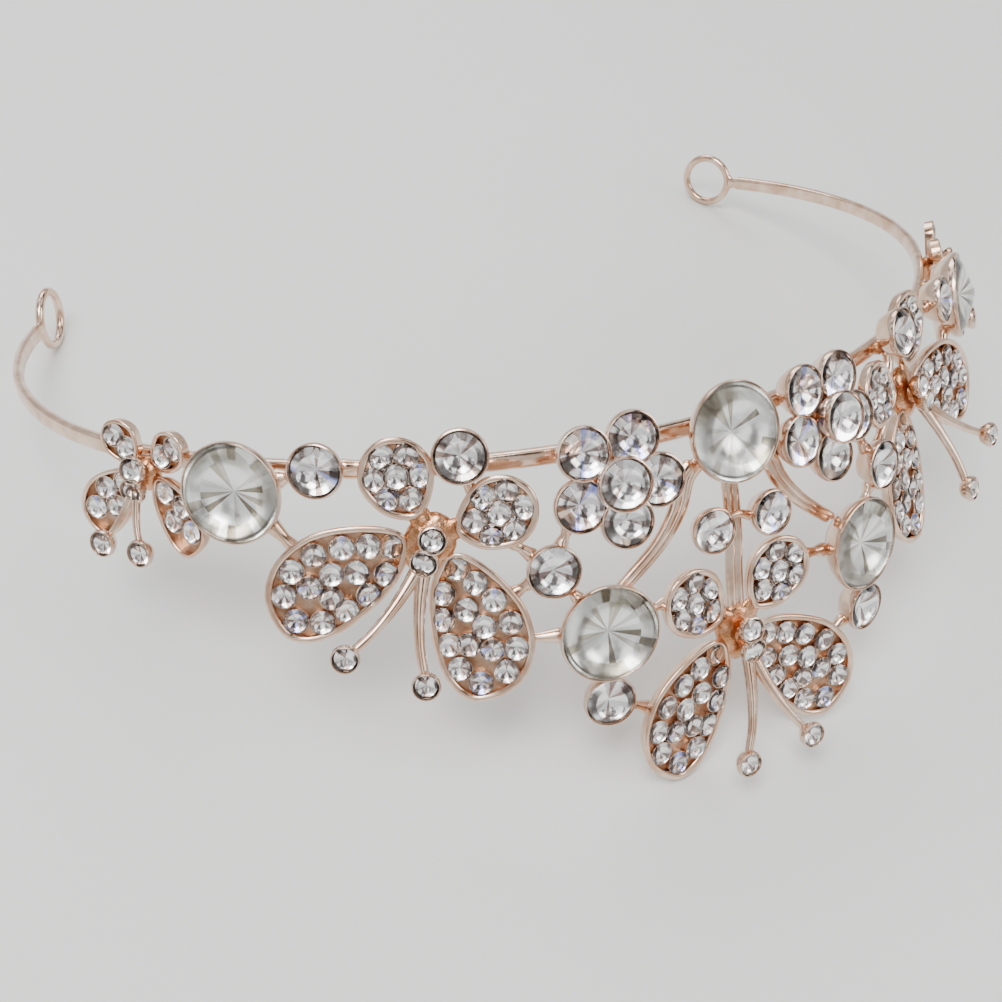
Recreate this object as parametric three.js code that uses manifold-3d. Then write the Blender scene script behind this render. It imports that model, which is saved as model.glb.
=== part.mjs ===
// Bridal tiara: a springy headband that carries five butterflies, two flowers and set stones.
// Millimetres, +Z up. The tiara lies crest down: it stands on the rims of its two hair loops
// and on the fore wings of the centre butterfly, with its front towards -Y.
//
// The ornament is laid out on a flat pattern that is wrapped onto a flared, curling panel:
//   s    distance along the headband from its middle, positive towards +X
//   h    distance from the headband towards the crest
//   lift distance outwards from the middle of the headband's section

import * as THREE from 'three';
import { mergeVertices } from 'three/addons/utils/BufferGeometryUtils.js';
import Module from 'manifold-3d';

const wasm = await Module();
wasm.setup();

// ---- Driving dimensions --------------------------------------------------------------------

const JOINT_GAP = 0.3; // solder or cement line between two pieces
const CURVED_GAP = 0.48; // the same where facets come closer to each other than their corners

// Headband: a wide arc across the front and a tighter one over each ear
const FRONT_RADIUS = 76.5;
const FRONT_HALF_LENGTH = 73;
const SIDE_RADIUS = 45.5;
const BAND_HALF_LENGTH = 125.3;
const BAND_HEIGHT = 2.2;
const BAND_THICKNESS = 1.4;
const BAND_CHAMFER = 0.5;
const BAND_STEPS = 48;

// Panel that the ornament follows
const FLARE_MIDDLE = THREE.MathUtils.degToRad(17.3);
const FLARE_SIDE = THREE.MathUtils.degToRad(10.9);
const FLARE_SPAN = 60;
const CURL_RADIUS = 141;

// Hair loops at the ends of the headband
const LOOP_RADIUS = 4.1; // middle of the ring's section
const LOOP_WIDTH = 1.3;
const LOOP_NECK = 1.0;
const LOOP_CHAMFER = 0.3;
const LOOP_SIDES = 16;
const NECK_RADIUS = 1.25;
const NECK_TAPER = 0.7;
const NECK_FLATNESS = 0.45; // keeps the neck thinner than the ring

// Wires of the castings
const VINE_RADIUS = 0.65;
const LINK_RADIUS = 0.6;
const WIRE_LIFT = 2.3;
const WIRE_SIDES = 6;
const PAD_RADIUS = 1.1;
const CUP_LINK_LIFT = 1.7; // lift of the link under the second chaton's cup

// Stones and their cups. Back and front are the depths of the two cones from the girdle.
const RIVOLI = { radius: 5.6, table: 0, front: 2.7, back: 2.7, wall: 0.35, sides: 12 };
const CHATON = { radius: 2.7, table: 1.5, front: 0.9, back: 2.1, wall: 0.35, sides: 8 };
const DROP = { radius: 2.3, table: 1.3, front: 0.9, back: 1.8, wall: 0.35, sides: 8 };
const ACCENT = { radius: 1.35, table: 0.8, front: 0.5, back: 0.9, wall: 0.3, sides: 6 };
const GIRDLE = 0.3;
const RIM = 0.2;
const CUP_FLOOR = 0.4;
const CUP_FOOT = 0.6; // share of the cup's radius that its foot has
const DEEP_CUP_WALL = 0.45; // share of the depth down to which the rivoli's cup stays full
const RIVOLI_LIFT = 5.5;
const CHATON_LIFT = 5.0;
const TOP_RIVOLI_LIFT = 5.2;
const DROP_LIFT = 4.5;

// Wings: a tray with a raised rim, filled with small stones
const TRAY_DEPTH = 1.4;
const TRAY_WALL = 0.5;
const TRAY_FLOOR = 0.4;
const PAVE_RADIUS = 1.4;
const PAVE_PITCH = 3.0;
const PAVE_ROW_STEP = 2.7;
const PAVE_BED = 0.3;
const PAVE_HEIGHT = 0.4;
const PAVE_CLEARANCE = 0.36; // round a cup that stands beside the wing
const CLEARED = 9; // how far up and down the cup's room is cleared
const GEM_SIDES = 5;
const FORE_DIVISIONS = 14;
const HIND_DIVISIONS = 10;

// Butterfly bodies: a post that rises from between the wing roots and carries an oblong boss
const POST_RADIUS = 1.2;
const BOSS_DEPTH = 1.9;
const BODY_PITCH = 1.45;
const ANTENNA_RADIUS = 0.4;
const ANTENNA = [[0.3, 2.6, -0.9], [1.8, 6.6, 0.9], [3.4, 10.5, 2.6], [4.9, 14.1, 3.6]];
const HUB_RADIUS = 3.6;
const HUB_HEIGHT = 0.35;
const HUB_STEM = 0.9;
const HUB_STRETCH = 1.3; // the hub is longer from head to tail than it is wide
const KNOB = { foot: 0.7, depth: 1.1, rise: 0.2 }; // the little cup at an antenna's tip

// Flowers
const PETALS = 5;
const PETAL_CIRCLE = 5.2;
const FLOWER_CENTRE_RISE = 2.9;
const CORE_FOOT = 2.2;
const CORE_NECK = 1.5;

// Where things lie on the pattern, for the side towards +X; the other side mirrors it
const TOP_RIVOLI = { s: 0, h: 1 };
const LOWER_RIVOLI = { s: 17.3, h: 21.8 };
const SIDE_RIVOLI = { s: 57, h: 1.8 };
const CHATONS = [
  { s: 47.5, h: -1 },
  { s: 31.7, h: -1.9 },
  { s: 22.7, h: 13 },
  { s: 17.6, h: 31 },
];
const DROP_PLACE = { s: 3.9, h: 12.4 };
const FLOWERS = [
  { side: 'left', s: -14.9, h: 3.3, turn: 10 },
  { side: 'right', s: 13.6, h: 3.1, turn: 17 },
];
// A butterfly's wings rise from its root by the dihedral angle, below its body
const BUTTERFLIES = [
  { name: 'centre', s: -0.7, h: 26.6, turn: 3, root: 3, body: 5.6, dihedral: 5, size: 1 },
  { name: 'left', s: -35.8, h: 8.5, turn: -23.5, root: 3.2, body: 5.6, dihedral: 3, size: 1, cup: 'left' },
  { name: 'right', s: 34, h: 7.2, turn: 27, root: 3.2, body: 5.6, dihedral: 3, size: 1, cup: 'right' },
  { name: 'left_end', s: -69.8, h: 1.7, turn: -4, root: 2.6, body: 5, dihedral: 6, size: 0.56 },
  { name: 'right_end', s: 69.8, h: 1.7, turn: 4, root: 2.6, body: 5, dihedral: 6, size: 0.56 },
];

// One wing of each pair: x away from the body, y towards the butterfly's head and the crest
const FORE_WING = [
  [2.0, 0.9], [4.2, -0.6], [8.8, 0.5], [13.5, 3.3], [16.3, 7.9],
  [15.9, 13.0], [11.9, 16.7], [7.6, 15.4], [3.9, 10.6], [1.8, 5.2],
];
const HIND_WING = [
  [1.9, -3.0], [1.7, -6.4], [3.0, -9.8], [6.2, -11.3],
  [9.4, -10.3], [10.9, -7.3], [10.0, -3.9], [6.7, -1.8], [3.7, -1.8],
];

const SIDES = [['left', -1], ['right', 1]];

// ---- Materials -----------------------------------------------------------------------------

const polished = new THREE.MeshStandardMaterial({ color: 0xe3b39a, roughness: 0.16, metalness: 1 });
const cast = new THREE.MeshStandardMaterial({ color: 0xc98a63, roughness: 0.34, metalness: 1 });
const crystal = new THREE.MeshStandardMaterial({ color: 0xdfe6e4, roughness: 0.05, metalness: 0.1 });

// ---- Solids --------------------------------------------------------------------------------

// The geometry with shared corners merged and collapsed triangles removed
function welded(geometry) {
  const bare = geometry.clone();
  bare.deleteAttribute('normal');
  bare.deleteAttribute('uv');
  const merged = mergeVertices(bare, 1e-4);
  const kept = [];
  for (let i = 0; i < merged.index.count; i += 3) {
    const corners = [0, 1, 2].map((k) => merged.index.getX(i + k));
    if (new Set(corners).size === 3) kept.push(...corners);
  }
  merged.setIndex(kept);
  return merged;
}

function solid(geometry) {
  const closed = welded(geometry);
  const vertProperties = new Float32Array(closed.attributes.position.array);
  const triVerts = new Uint32Array(closed.index.array);
  const body = new wasm.Manifold(new wasm.Mesh({ numProp: 3, vertProperties, triVerts }));
  if (body.volume() > 0) return body;
  for (let i = 0; i < triVerts.length; i += 3) {
    [triVerts[i], triVerts[i + 1]] = [triVerts[i + 1], triVerts[i]];
  }
  return new wasm.Manifold(new wasm.Mesh({ numProp: 3, vertProperties, triVerts }));
}

function geometryOf(body) {
  const mesh = body.getMesh();
  const geometry = new THREE.BufferGeometry();
  geometry.setAttribute('position', new THREE.BufferAttribute(mesh.vertProperties, 3));
  geometry.setIndex(new THREE.BufferAttribute(mesh.triVerts, 1));
  return geometry;
}

function joined(bodies) {
  return bodies.reduce((whole, body) => whole.add(body));
}

// ---- Pattern to space ----------------------------------------------------------------------

function bandPoint(s) {
  const side = Math.sign(s) || 1;
  const run = Math.abs(s);
  const frontTurn = Math.min(run, FRONT_HALF_LENGTH) / FRONT_RADIUS;
  const sideTurn = Math.max(run - FRONT_HALF_LENGTH, 0) / SIDE_RADIUS;
  const angle = frontTurn + sideTurn;
  const x = FRONT_RADIUS * Math.sin(frontTurn)
    + SIDE_RADIUS * (Math.sin(angle) - Math.sin(frontTurn));
  const y = FRONT_RADIUS * (1 - Math.cos(frontTurn))
    + SIDE_RADIUS * (Math.cos(frontTurn) - Math.cos(angle));
  return { point: new THREE.Vector3(side * x, y, 0), angle: side * angle };
}

// Directions of the panel at (s, h): along the band, towards the band, and outwards
function panelAxes(s, h) {
  const { angle } = bandPoint(s);
  const flare = FLARE_MIDDLE - (FLARE_MIDDLE - FLARE_SIDE) * (s / FLARE_SPAN) ** 2;
  const along = new THREE.Vector3(Math.cos(angle), Math.sin(angle), 0);
  const outward = new THREE.Vector3(Math.sin(angle), -Math.cos(angle), 0);
  const up = new THREE.Vector3(0, 0, 1);
  const lean = (tilt) => ({
    bandward: up.clone().multiplyScalar(Math.cos(tilt)).addScaledVector(outward, -Math.sin(tilt)),
    normal: outward.clone().multiplyScalar(Math.cos(tilt)).addScaledVector(up, Math.sin(tilt)),
  });
  return { along, flat: lean(flare), curled: lean(flare - h / CURL_RADIUS) };
}

function panelPoint(s, h, lift) {
  const { flat } = panelAxes(s, h);
  return bandPoint(s).point
    .addScaledVector(flat.bandward, -h)
    .addScaledVector(flat.normal, lift - h * h / (2 * CURL_RADIUS));
}

// Frame at a place on the panel: x along the band, y towards the band, z outwards
function panelFrame({ s, h, turn = 0 }, lift) {
  const { along, curled } = panelAxes(s, h);
  const frame = new THREE.Matrix4().makeBasis(along, curled.bandward, curled.normal);
  frame.setPosition(panelPoint(s, h, lift));
  return frame.multiply(new THREE.Matrix4().makeRotationZ(THREE.MathUtils.degToRad(turn)));
}

function mirrored(place, sign) {
  return { ...place, s: sign * place.s };
}

// ---- Building blocks -----------------------------------------------------------------------

function turned(profile, sides) {
  const points = profile.map(([r, z]) => new THREE.Vector2(r, z));
  return new THREE.LatheGeometry(points, sides).rotateX(Math.PI / 2);
}

function stone(kind) {
  const edge = GIRDLE / 2;
  const crown = kind.table > 0 ? [[kind.table, edge + kind.front]] : [];
  return turned([
    [0, -edge - kind.back],
    [kind.radius, -edge],
    [kind.radius, edge],
    ...crown,
    [0, edge + kind.front],
  ], kind.sides);
}

function cupRadius(kind) {
  return kind.radius + JOINT_GAP + kind.wall;
}

function cupDepth(kind) {
  return GIRDLE / 2 + kind.back + JOINT_GAP + CUP_FLOOR;
}

function cupOutside(kind) {
  const radius = cupRadius(kind);
  const depth = cupDepth(kind);
  const wall = kind === RIVOLI ? [[radius, -depth * DEEP_CUP_WALL]] : [];
  const foot = radius * CUP_FOOT;
  return turned([[0, -depth], [foot, -depth], ...wall, [radius, RIM], [0, RIM]], kind.sides);
}

function cupInside(kind) {
  const radius = kind.radius + JOINT_GAP;
  const seat = -GIRDLE / 2 - JOINT_GAP;
  return turned([[0, seat - kind.back], [radius, seat], [radius, RIM + 1], [0, RIM + 1]], kind.sides);
}

function tube(points, radius, sides, steps) {
  const section = new THREE.Shape();
  for (let i = 0; i < sides; i += 1) {
    const angle = 2 * Math.PI * (i + 0.5) / sides;
    const corner = [radius * Math.cos(angle), radius * Math.sin(angle)];
    if (i === 0) section.moveTo(...corner);
    else section.lineTo(...corner);
  }
  const extrudePath = new THREE.CatmullRomCurve3(points);
  return new THREE.ExtrudeGeometry(section, { steps, extrudePath, bevelEnabled: false });
}

// A wire through places on the panel
function wire(places, radius = LINK_RADIUS, lift = WIRE_LIFT) {
  const stretches = places.length - 1;
  const points = places.map(([s, h]) => panelPoint(s, h, lift));
  return tube(points, radius, WIRE_SIDES, stretches > 1 ? 2 * stretches : 1);
}

// A post from lift `from` to lift `to`, square to the headband there
function post({ s, h }, radius, from, to) {
  return tube([panelPoint(s, h, from), panelPoint(s, h, to)], radius, WIRE_SIDES, 1);
}

// A casting: cups set in place, with wires and posts, and the stones' seats cut out
function casting(cups, wires) {
  const outsides = cups.map(({ kind, frame }) => solid(cupOutside(kind).applyMatrix4(frame)));
  const insides = cups.map(({ kind, frame }) => solid(cupInside(kind).applyMatrix4(frame)));
  const whole = joined([...outsides, ...wires.map((geometry) => solid(geometry))]);
  return geometryOf(whole.subtract(joined(insides)));
}

// ---- Assembly ------------------------------------------------------------------------------

const tiara = new THREE.Group();

function addPiece(name, geometry, material) {
  const mesh = new THREE.Mesh(welded(geometry), material.clone());
  mesh.name = name;
  tiara.add(mesh);
  return mesh;
}

function addStone(name, kind, frame) {
  return addPiece(name, stone(kind).applyMatrix4(frame), crystal);
}

// Headband: a flat-sided strip bent edgeways, with chamfered corners
class BandCurve extends THREE.Curve {
  getPoint(t, target = new THREE.Vector3()) {
    return target.copy(bandPoint((2 * t - 1) * BAND_HALF_LENGTH).point);
  }
}

function headband() {
  const [height, depth] = [BAND_HEIGHT / 2, BAND_THICKNESS / 2];
  const face = height - BAND_CHAMFER;
  const section = new THREE.Shape([
    [height, 0], [face, depth], [-face, depth], [-height, 0], [-face, -depth], [face, -depth],
  ].map(([x, y]) => new THREE.Vector2(x, y)));
  const settings = { steps: BAND_STEPS, extrudePath: new BandCurve(), bevelEnabled: false };
  return new THREE.ExtrudeGeometry(section, settings);
}

// Hair loop: a flat-sided ring in line with the band, with a flared neck towards it
function hairLoop(sign) {
  const { point, angle } = bandPoint(sign * BAND_HALF_LENGTH);
  const along = new THREE.Vector3(Math.cos(angle), Math.sin(angle), 0).multiplyScalar(sign);
  const outward = new THREE.Vector3(Math.sin(angle), -Math.cos(angle), 0);
  const half = LOOP_WIDTH / 2;
  const outer = LOOP_RADIUS + half;
  const inner = LOOP_RADIUS - half;
  const ring = turned([
    [inner, 0], [inner + LOOP_CHAMFER, -half], [outer - LOOP_CHAMFER, -half], [outer, 0],
    [outer - LOOP_CHAMFER, half], [inner + LOOP_CHAMFER, half], [inner, 0],
  ], LOOP_SIDES);
  const start = point.clone().addScaledVector(along, JOINT_GAP);
  const middle = start.clone().addScaledVector(along, LOOP_NECK + outer);
  const frame = new THREE.Matrix4().makeBasis(along, outward.clone().cross(along), outward);
  frame.setPosition(middle);
  const neckEnd = start.clone().addScaledVector(along, LOOP_NECK + LOOP_WIDTH / 2);
  const neckLength = start.distanceTo(neckEnd);
  const neck = new THREE.CylinderGeometry(NECK_RADIUS * NECK_TAPER, NECK_RADIUS, neckLength, 8)
    .rotateZ(-Math.PI / 2).scale(1, 1, NECK_FLATNESS);
  const neckFrame = frame.clone().setPosition(start.clone().lerp(neckEnd, 0.5));
  return geometryOf(joined([solid(ring.applyMatrix4(frame)), solid(neck.applyMatrix4(neckFrame))]));
}

addPiece('headband', headband(), polished);
for (const [side, sign] of SIDES) addPiece(`${side}_end_loop`, hairLoop(sign), polished);

// Top rivoli, its stem down to the centre butterfly, the vines and the two drops
const BAND_FACE = BAND_THICKNESS / 2 + CURVED_GAP; // where the leaning posts stop
const topFrame = panelFrame(TOP_RIVOLI, TOP_RIVOLI_LIFT);
const dropFrames = SIDES.map(([, sign]) => panelFrame(mirrored(DROP_PLACE, sign), DROP_LIFT));
const vine = (sign) => wire(
  [[3.2, 3], [5.6, 5], [7.4, 9.2], [10.4, 13], [14.6, 17]].map(([s, h]) => [sign * s, h]),
  VINE_RADIUS,
);
addPiece('centre_casting', casting(
  [{ kind: RIVOLI, frame: topFrame }, ...dropFrames.map((frame) => ({ kind: DROP, frame }))],
  [
    wire([[0, 4], [-0.2, 12], [-0.8, 20.6]], VINE_RADIUS),
    wire([[-DROP_PLACE.s, DROP_PLACE.h], [DROP_PLACE.s, DROP_PLACE.h]]),
    vine(-1),
    vine(1),
    post({ s: 0, h: 0 }, PAD_RADIUS, BAND_FACE, WIRE_LIFT),
  ],
), polished);
addStone('top_rivoli', RIVOLI, topFrame);
SIDES.forEach(([side], index) => addStone(`${side}_drop_stone`, DROP, dropFrames[index]));

// Lower castings: a rivoli with the two chatons beside it and the arms to their neighbours
// Side castings: a rivoli and a chaton on a rail along the band
// The second chaton along the band sits in a cup of the butterfly beside it
for (const [side, sign] of SIDES) {
  const at = (places) => places.map(([s, h]) => [sign * s, h]);
  const chatonFrames = CHATONS.map((place) => panelFrame(mirrored(place, sign), CHATON_LIFT));
  const lowerFrame = panelFrame(mirrored(LOWER_RIVOLI, sign), RIVOLI_LIFT);
  const sideFrame = panelFrame(mirrored(SIDE_RIVOLI, sign), RIVOLI_LIFT);
  addPiece(`${side}_lower_casting`, casting(
    [
      { kind: RIVOLI, frame: lowerFrame },
      { kind: CHATON, frame: chatonFrames[2] },
      { kind: CHATON, frame: chatonFrames[3] },
    ],
    [
      wire(at([[18.6, 19], [22, 14]])),
      wire(at([[17.4, 24], [17.6, 30]])),
      wire(at([[CHATONS[2].s, CHATONS[2].h], [20.8, 8.6]])),
      wire(at([[LOWER_RIVOLI.s, LOWER_RIVOLI.h], [25.6, 21.8]])),
      wire(at([[CHATONS[3].s, CHATONS[3].h], [13.4, 33.6]])),
    ],
  ), polished);
  addPiece(`${side}_side_casting`, casting(
    [
      { kind: RIVOLI, frame: sideFrame },
      { kind: CHATON, frame: chatonFrames[0] },
    ],
    [
      wire(at([[SIDE_RIVOLI.s, 0.6], [CHATONS[0].s, -0.6]])),
      wire(at([[SIDE_RIVOLI.s, SIDE_RIVOLI.h], [52.6, 9.6]])),
      post({ s: sign * CHATONS[0].s, h: 0 }, PAD_RADIUS, BAND_FACE, WIRE_LIFT),
      post({ s: sign * SIDE_RIVOLI.s, h: 0 }, PAD_RADIUS, BAND_FACE, WIRE_LIFT),
    ],
  ), polished);
  addStone(`${side}_lower_rivoli`, RIVOLI, lowerFrame);
  addStone(`${side}_side_rivoli`, RIVOLI, sideFrame);
  chatonFrames.forEach((frame, index) => addStone(`${side}_chaton_${index + 1}`, CHATON, frame));
}

// Flowers: five petal cups round a post that carries the raised centre cup
for (const flower of FLOWERS) {
  const middle = panelFrame({ ...flower, turn: -flower.turn }, CHATON_LIFT);
  const petalFrames = Array.from({ length: PETALS }, (_, index) => {
    const angle = 2 * Math.PI * index / PETALS;
    const offset = new THREE.Matrix4().makeTranslation(
      PETAL_CIRCLE * Math.cos(angle), PETAL_CIRCLE * Math.sin(angle), 0,
    );
    return middle.clone().multiply(offset);
  });
  const raised = new THREE.Matrix4().makeTranslation(0, 0, FLOWER_CENTRE_RISE);
  const centreFrame = middle.clone().multiply(raised);
  const depth = cupDepth(CHATON);
  const core = turned([
    [0, -depth], [CORE_FOOT, -depth], [CORE_NECK, 0], [CORE_NECK, 1], [0, 1],
  ], 8).applyMatrix4(middle);
  addPiece(`${flower.side}_flower_setting`, casting(
    [...petalFrames, centreFrame].map((frame) => ({ kind: CHATON, frame })),
    [core, post({ s: flower.s, h: 0 }, PAD_RADIUS, BAND_FACE, CHATON_LIFT - depth + CUP_FLOOR)],
  ), polished);
  petalFrames.forEach((frame, index) => {
    addStone(`${flower.side}_petal_stone_${index + 1}`, CHATON, frame);
  });
  addStone(`${flower.side}_flower_centre_stone`, CHATON, centreFrame);
}

// ---- Butterflies ---------------------------------------------------------------------------

function wingCurve(points, size, side) {
  const corners = points.map(([x, y]) => new THREE.Vector3(side * x * size, -y * size, 0));
  return new THREE.CatmullRomCurve3(corners, true);
}

// Points of the outline moved inwards by `inset`, without those that would come too near it
function insetOutline(outline, inset) {
  const centre = outline.reduce((sum, p) => sum.add(p), new THREE.Vector2()).divideScalar(outline.length);
  const moved = outline.map((p, i) => {
    const before = outline[(i + outline.length - 1) % outline.length];
    const after = outline[(i + 1) % outline.length];
    const normal = new THREE.Vector2(before.y - after.y, after.x - before.x).normalize();
    if (normal.dot(centre.clone().sub(p)) < 0) normal.negate();
    return p.clone().addScaledVector(normal, inset);
  });
  return moved.filter((p) => outline.every((q) => q.distanceTo(p) > inset * 0.97));
}

// Places spaced evenly along a closed outline, about one pitch apart
function spaced(outline, pitch) {
  const loop = new THREE.CatmullRomCurve3(outline.map((p) => new THREE.Vector3(p.x, p.y, 0)), true);
  const count = Math.floor(loop.getLength() / pitch);
  return Array.from({ length: count }, (_, i) => loop.getPointAt(i / count));
}

function plate(outline, from, to) {
  const settings = { depth: to - from, bevelEnabled: false };
  return new THREE.ExtrudeGeometry(new THREE.Shape(outline), settings).translate(0, 0, from);
}

function wingTray(outline) {
  const outside = solid(plate(outline, -TRAY_DEPTH, 0));
  const inside = plate(insetOutline(outline, TRAY_WALL), TRAY_FLOOR - TRAY_DEPTH, 1);
  return outside.subtract(solid(inside));
}

function wingPave(outline) {
  const base = TRAY_FLOOR - TRAY_DEPTH + JOINT_GAP;
  const top = base + PAVE_BED;
  const edge = TRAY_WALL + CURVED_GAP;
  const bed = solid(plate(insetOutline(outline, edge), base, top));
  const first = insetOutline(outline, edge + PAVE_RADIUS);
  const second = insetOutline(outline, edge + PAVE_RADIUS + PAVE_ROW_STEP);
  const inner = second.length > 2 ? spaced(second, PAVE_PITCH) : [];
  const middle = first.reduce((sum, p) => sum.add(p), new THREE.Vector2()).divideScalar(first.length);
  const places = [...spaced(first, PAVE_PITCH), ...(inner.length > 1 ? inner : [middle])];
  const stones = places.map(({ x, y }) => {
    const gem = new THREE.ConeGeometry(PAVE_RADIUS, PAVE_HEIGHT, GEM_SIDES);
    return solid(gem.rotateX(Math.PI / 2).translate(x, y, top + PAVE_HEIGHT / 2));
  });
  return joined([bed, ...stones]);
}

// Body: a post with an oblong boss for two stones, and two antennae that rise from its head
function butterflyBody({ root, body, size }) {
  const radius = cupRadius(ACCENT) * Math.max(size, 0.8);
  const base = root - TRAY_DEPTH + HUB_HEIGHT + JOINT_GAP;
  const stem = new THREE.CylinderGeometry(POST_RADIUS * size, POST_RADIUS * size, body - base, 8)
    .rotateX(Math.PI / 2).translate(0, 0, (body + base) / 2);
  const boss = [-1, 1].map((end) => (
    new THREE.CylinderGeometry(radius, radius * 0.8, BOSS_DEPTH, 8)
      .rotateX(Math.PI / 2).translate(0, end * BODY_PITCH * size, body - BOSS_DEPTH / 2)
  ));
  const antennae = [-1, 1].flatMap((side) => {
    const points = ANTENNA.map(([x, y, z]) => (
      new THREE.Vector3(side * x, -y, z).multiplyScalar(size).add(new THREE.Vector3(0, 0, body))
    ));
    const tip = points[points.length - 1];
    const knob = new THREE.CylinderGeometry(cupRadius(ACCENT), KNOB.foot, KNOB.depth, 7)
      .rotateX(Math.PI / 2).translate(tip.x, tip.y, tip.z + KNOB.rise);
    return [tube(points, ANTENNA_RADIUS, 5, 5), knob];
  });
  return joined([stem, ...boss, ...antennae].map((geometry) => solid(geometry)));
}

function butterfly({ name, s, h, turn, root, body, dihedral, size, cup }) {
  const frame = panelFrame({ s, h, turn }, 0);
  const pairs = [['hind', HIND_WING, HIND_DIVISIONS], ['fore', FORE_WING, FORE_DIVISIONS]];
  const wings = pairs.flatMap(([pair, points, divisions]) => (
    SIDES.map(([side, sign]) => {
      const outline = wingCurve(points, size, sign).getSpacedPoints(divisions).slice(0, -1)
        .map((p) => new THREE.Vector2(p.x, p.y));
      const rise = new THREE.Matrix4().makeRotationY(-sign * THREE.MathUtils.degToRad(dihedral));
      const wingFrame = frame.clone().multiply(rise.setPosition(0, 0, root));
      return { label: `${side}_${pair}_pave`, outline, wingFrame };
    })
  ));
  const trays = wings.map(({ outline, wingFrame }) => (
    solid(geometryOf(wingTray(outline)).applyMatrix4(wingFrame))
  ));
  const base = root - TRAY_DEPTH;
  const foot = Math.max(base - HUB_STEM, BAND_FACE);
  const hubRadius = HUB_RADIUS * size;
  const stem = foot < base ? [[0, foot], [hubRadius * 0.5, foot]] : [[0, base]];
  const hub = turned([
    ...stem, [hubRadius, base], [hubRadius, base + HUB_HEIGHT], [0, base + HUB_HEIGHT],
  ], 10).scale(1, HUB_STRETCH, 1).applyMatrix4(frame);
  const wingCasting = joined([...trays, solid(hub)]);
  addPiece(`${name}_butterfly_wings`, geometryOf(withChatonCup(wingCasting, cup)), cast);
  const bodyGeometry = geometryOf(butterflyBody({ root, body, size }));
  addPiece(`${name}_butterfly_body`, bodyGeometry.applyMatrix4(frame), polished);
  if (size < 1) return;
  for (const { label, outline, wingFrame } of wings) {
    const pave = solid(geometryOf(wingPave(outline)).applyMatrix4(wingFrame));
    addPiece(`${name}_butterfly_${label}`, geometryOf(clearOfCup(pave, cup)), crystal);
  }
}

// The pave without what would come too near the chaton cup
function clearOfCup(pave, side) {
  const found = SIDES.find(([name]) => name === side);
  if (!found) return pave;
  const frame = panelFrame(mirrored(CHATONS[1], found[1]), CHATON_LIFT);
  const radius = cupRadius(CHATON) + PAVE_CLEARANCE;
  const room = turned([[0, -CLEARED], [radius, -CLEARED], [radius, CLEARED], [0, CLEARED]], 16);
  return pave.subtract(solid(room.applyMatrix4(frame)));
}

// The wing casting with the cup of the chaton that sits between its inner hind wing and the band
function withChatonCup(wingCasting, side) {
  const found = SIDES.find(([name]) => name === side);
  if (!found) return wingCasting;
  const [, sign] = found;
  const place = mirrored(CHATONS[1], sign);
  const frame = panelFrame(place, CHATON_LIFT);
  const link = wire([[place.s, -0.6], [sign * 30.6, 2.6]], LINK_RADIUS, CUP_LINK_LIFT);
  const pad = post({ s: place.s, h: 0 }, PAD_RADIUS, BAND_FACE, WIRE_LIFT);
  const parts = [cupOutside(CHATON).applyMatrix4(frame), link, pad].map((geometry) => solid(geometry));
  return joined([wingCasting, ...parts]).subtract(solid(cupInside(CHATON).applyMatrix4(frame)));
}

BUTTERFLIES.forEach(butterfly);

// ---- Resting pose --------------------------------------------------------------------------

// Height of the lowest point of a mesh once the tiara is tipped forwards by `tilt`
function lowest(mesh, tilt) {
  const turn = new THREE.Matrix4().makeRotationX(tilt);
  const { position } = mesh.geometry.clone().applyMatrix4(turn).attributes;
  return new THREE.Box3().setFromBufferAttribute(position).min.z;
}

// The tilt at which the loops and the crest touch the table together
function restingTilt() {
  const loop = tiara.getObjectByName('left_end_loop');
  const crest = tiara.getObjectByName('centre_butterfly_wings');
  let [low, high] = [-Math.PI / 3, Math.PI / 3];
  while (high - low > 1e-7) {
    const middle = (low + high) / 2;
    if (lowest(crest, middle) < lowest(loop, middle)) high = middle;
    else low = middle;
  }
  return (low + high) / 2;
}

tiara.rotation.x = restingTilt();
tiara.updateMatrixWorld(true);
const box = new THREE.Box3().setFromObject(tiara, true);
const middle = box.getCenter(new THREE.Vector3());
tiara.position.set(-middle.x, -middle.y, -box.min.z);

const root = new THREE.Group();
root.add(tiara);

export default root;
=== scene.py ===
"""Looks of a rose gold bridal tiara with butterflies, flowers and set crystals.

The tiara lies crest down on a pale table. Its ornament is laid out on a flat pattern that is
wrapped onto a flared, curling panel, and every piece is made in the tiara's own frame, in
millimetres, before it is carried to its place on the table:

    s     distance along the headband from its middle, positive towards +X
    h     distance from the headband towards the crest
    lift  distance outwards from the middle of the headband's section
"""

import logging
import math
from dataclasses import dataclass, field
from enum import Enum
from functools import cache
from typing import Callable, Iterable, Sequence

import bmesh
import bpy
from mathutils import Matrix, Vector, noise


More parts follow.
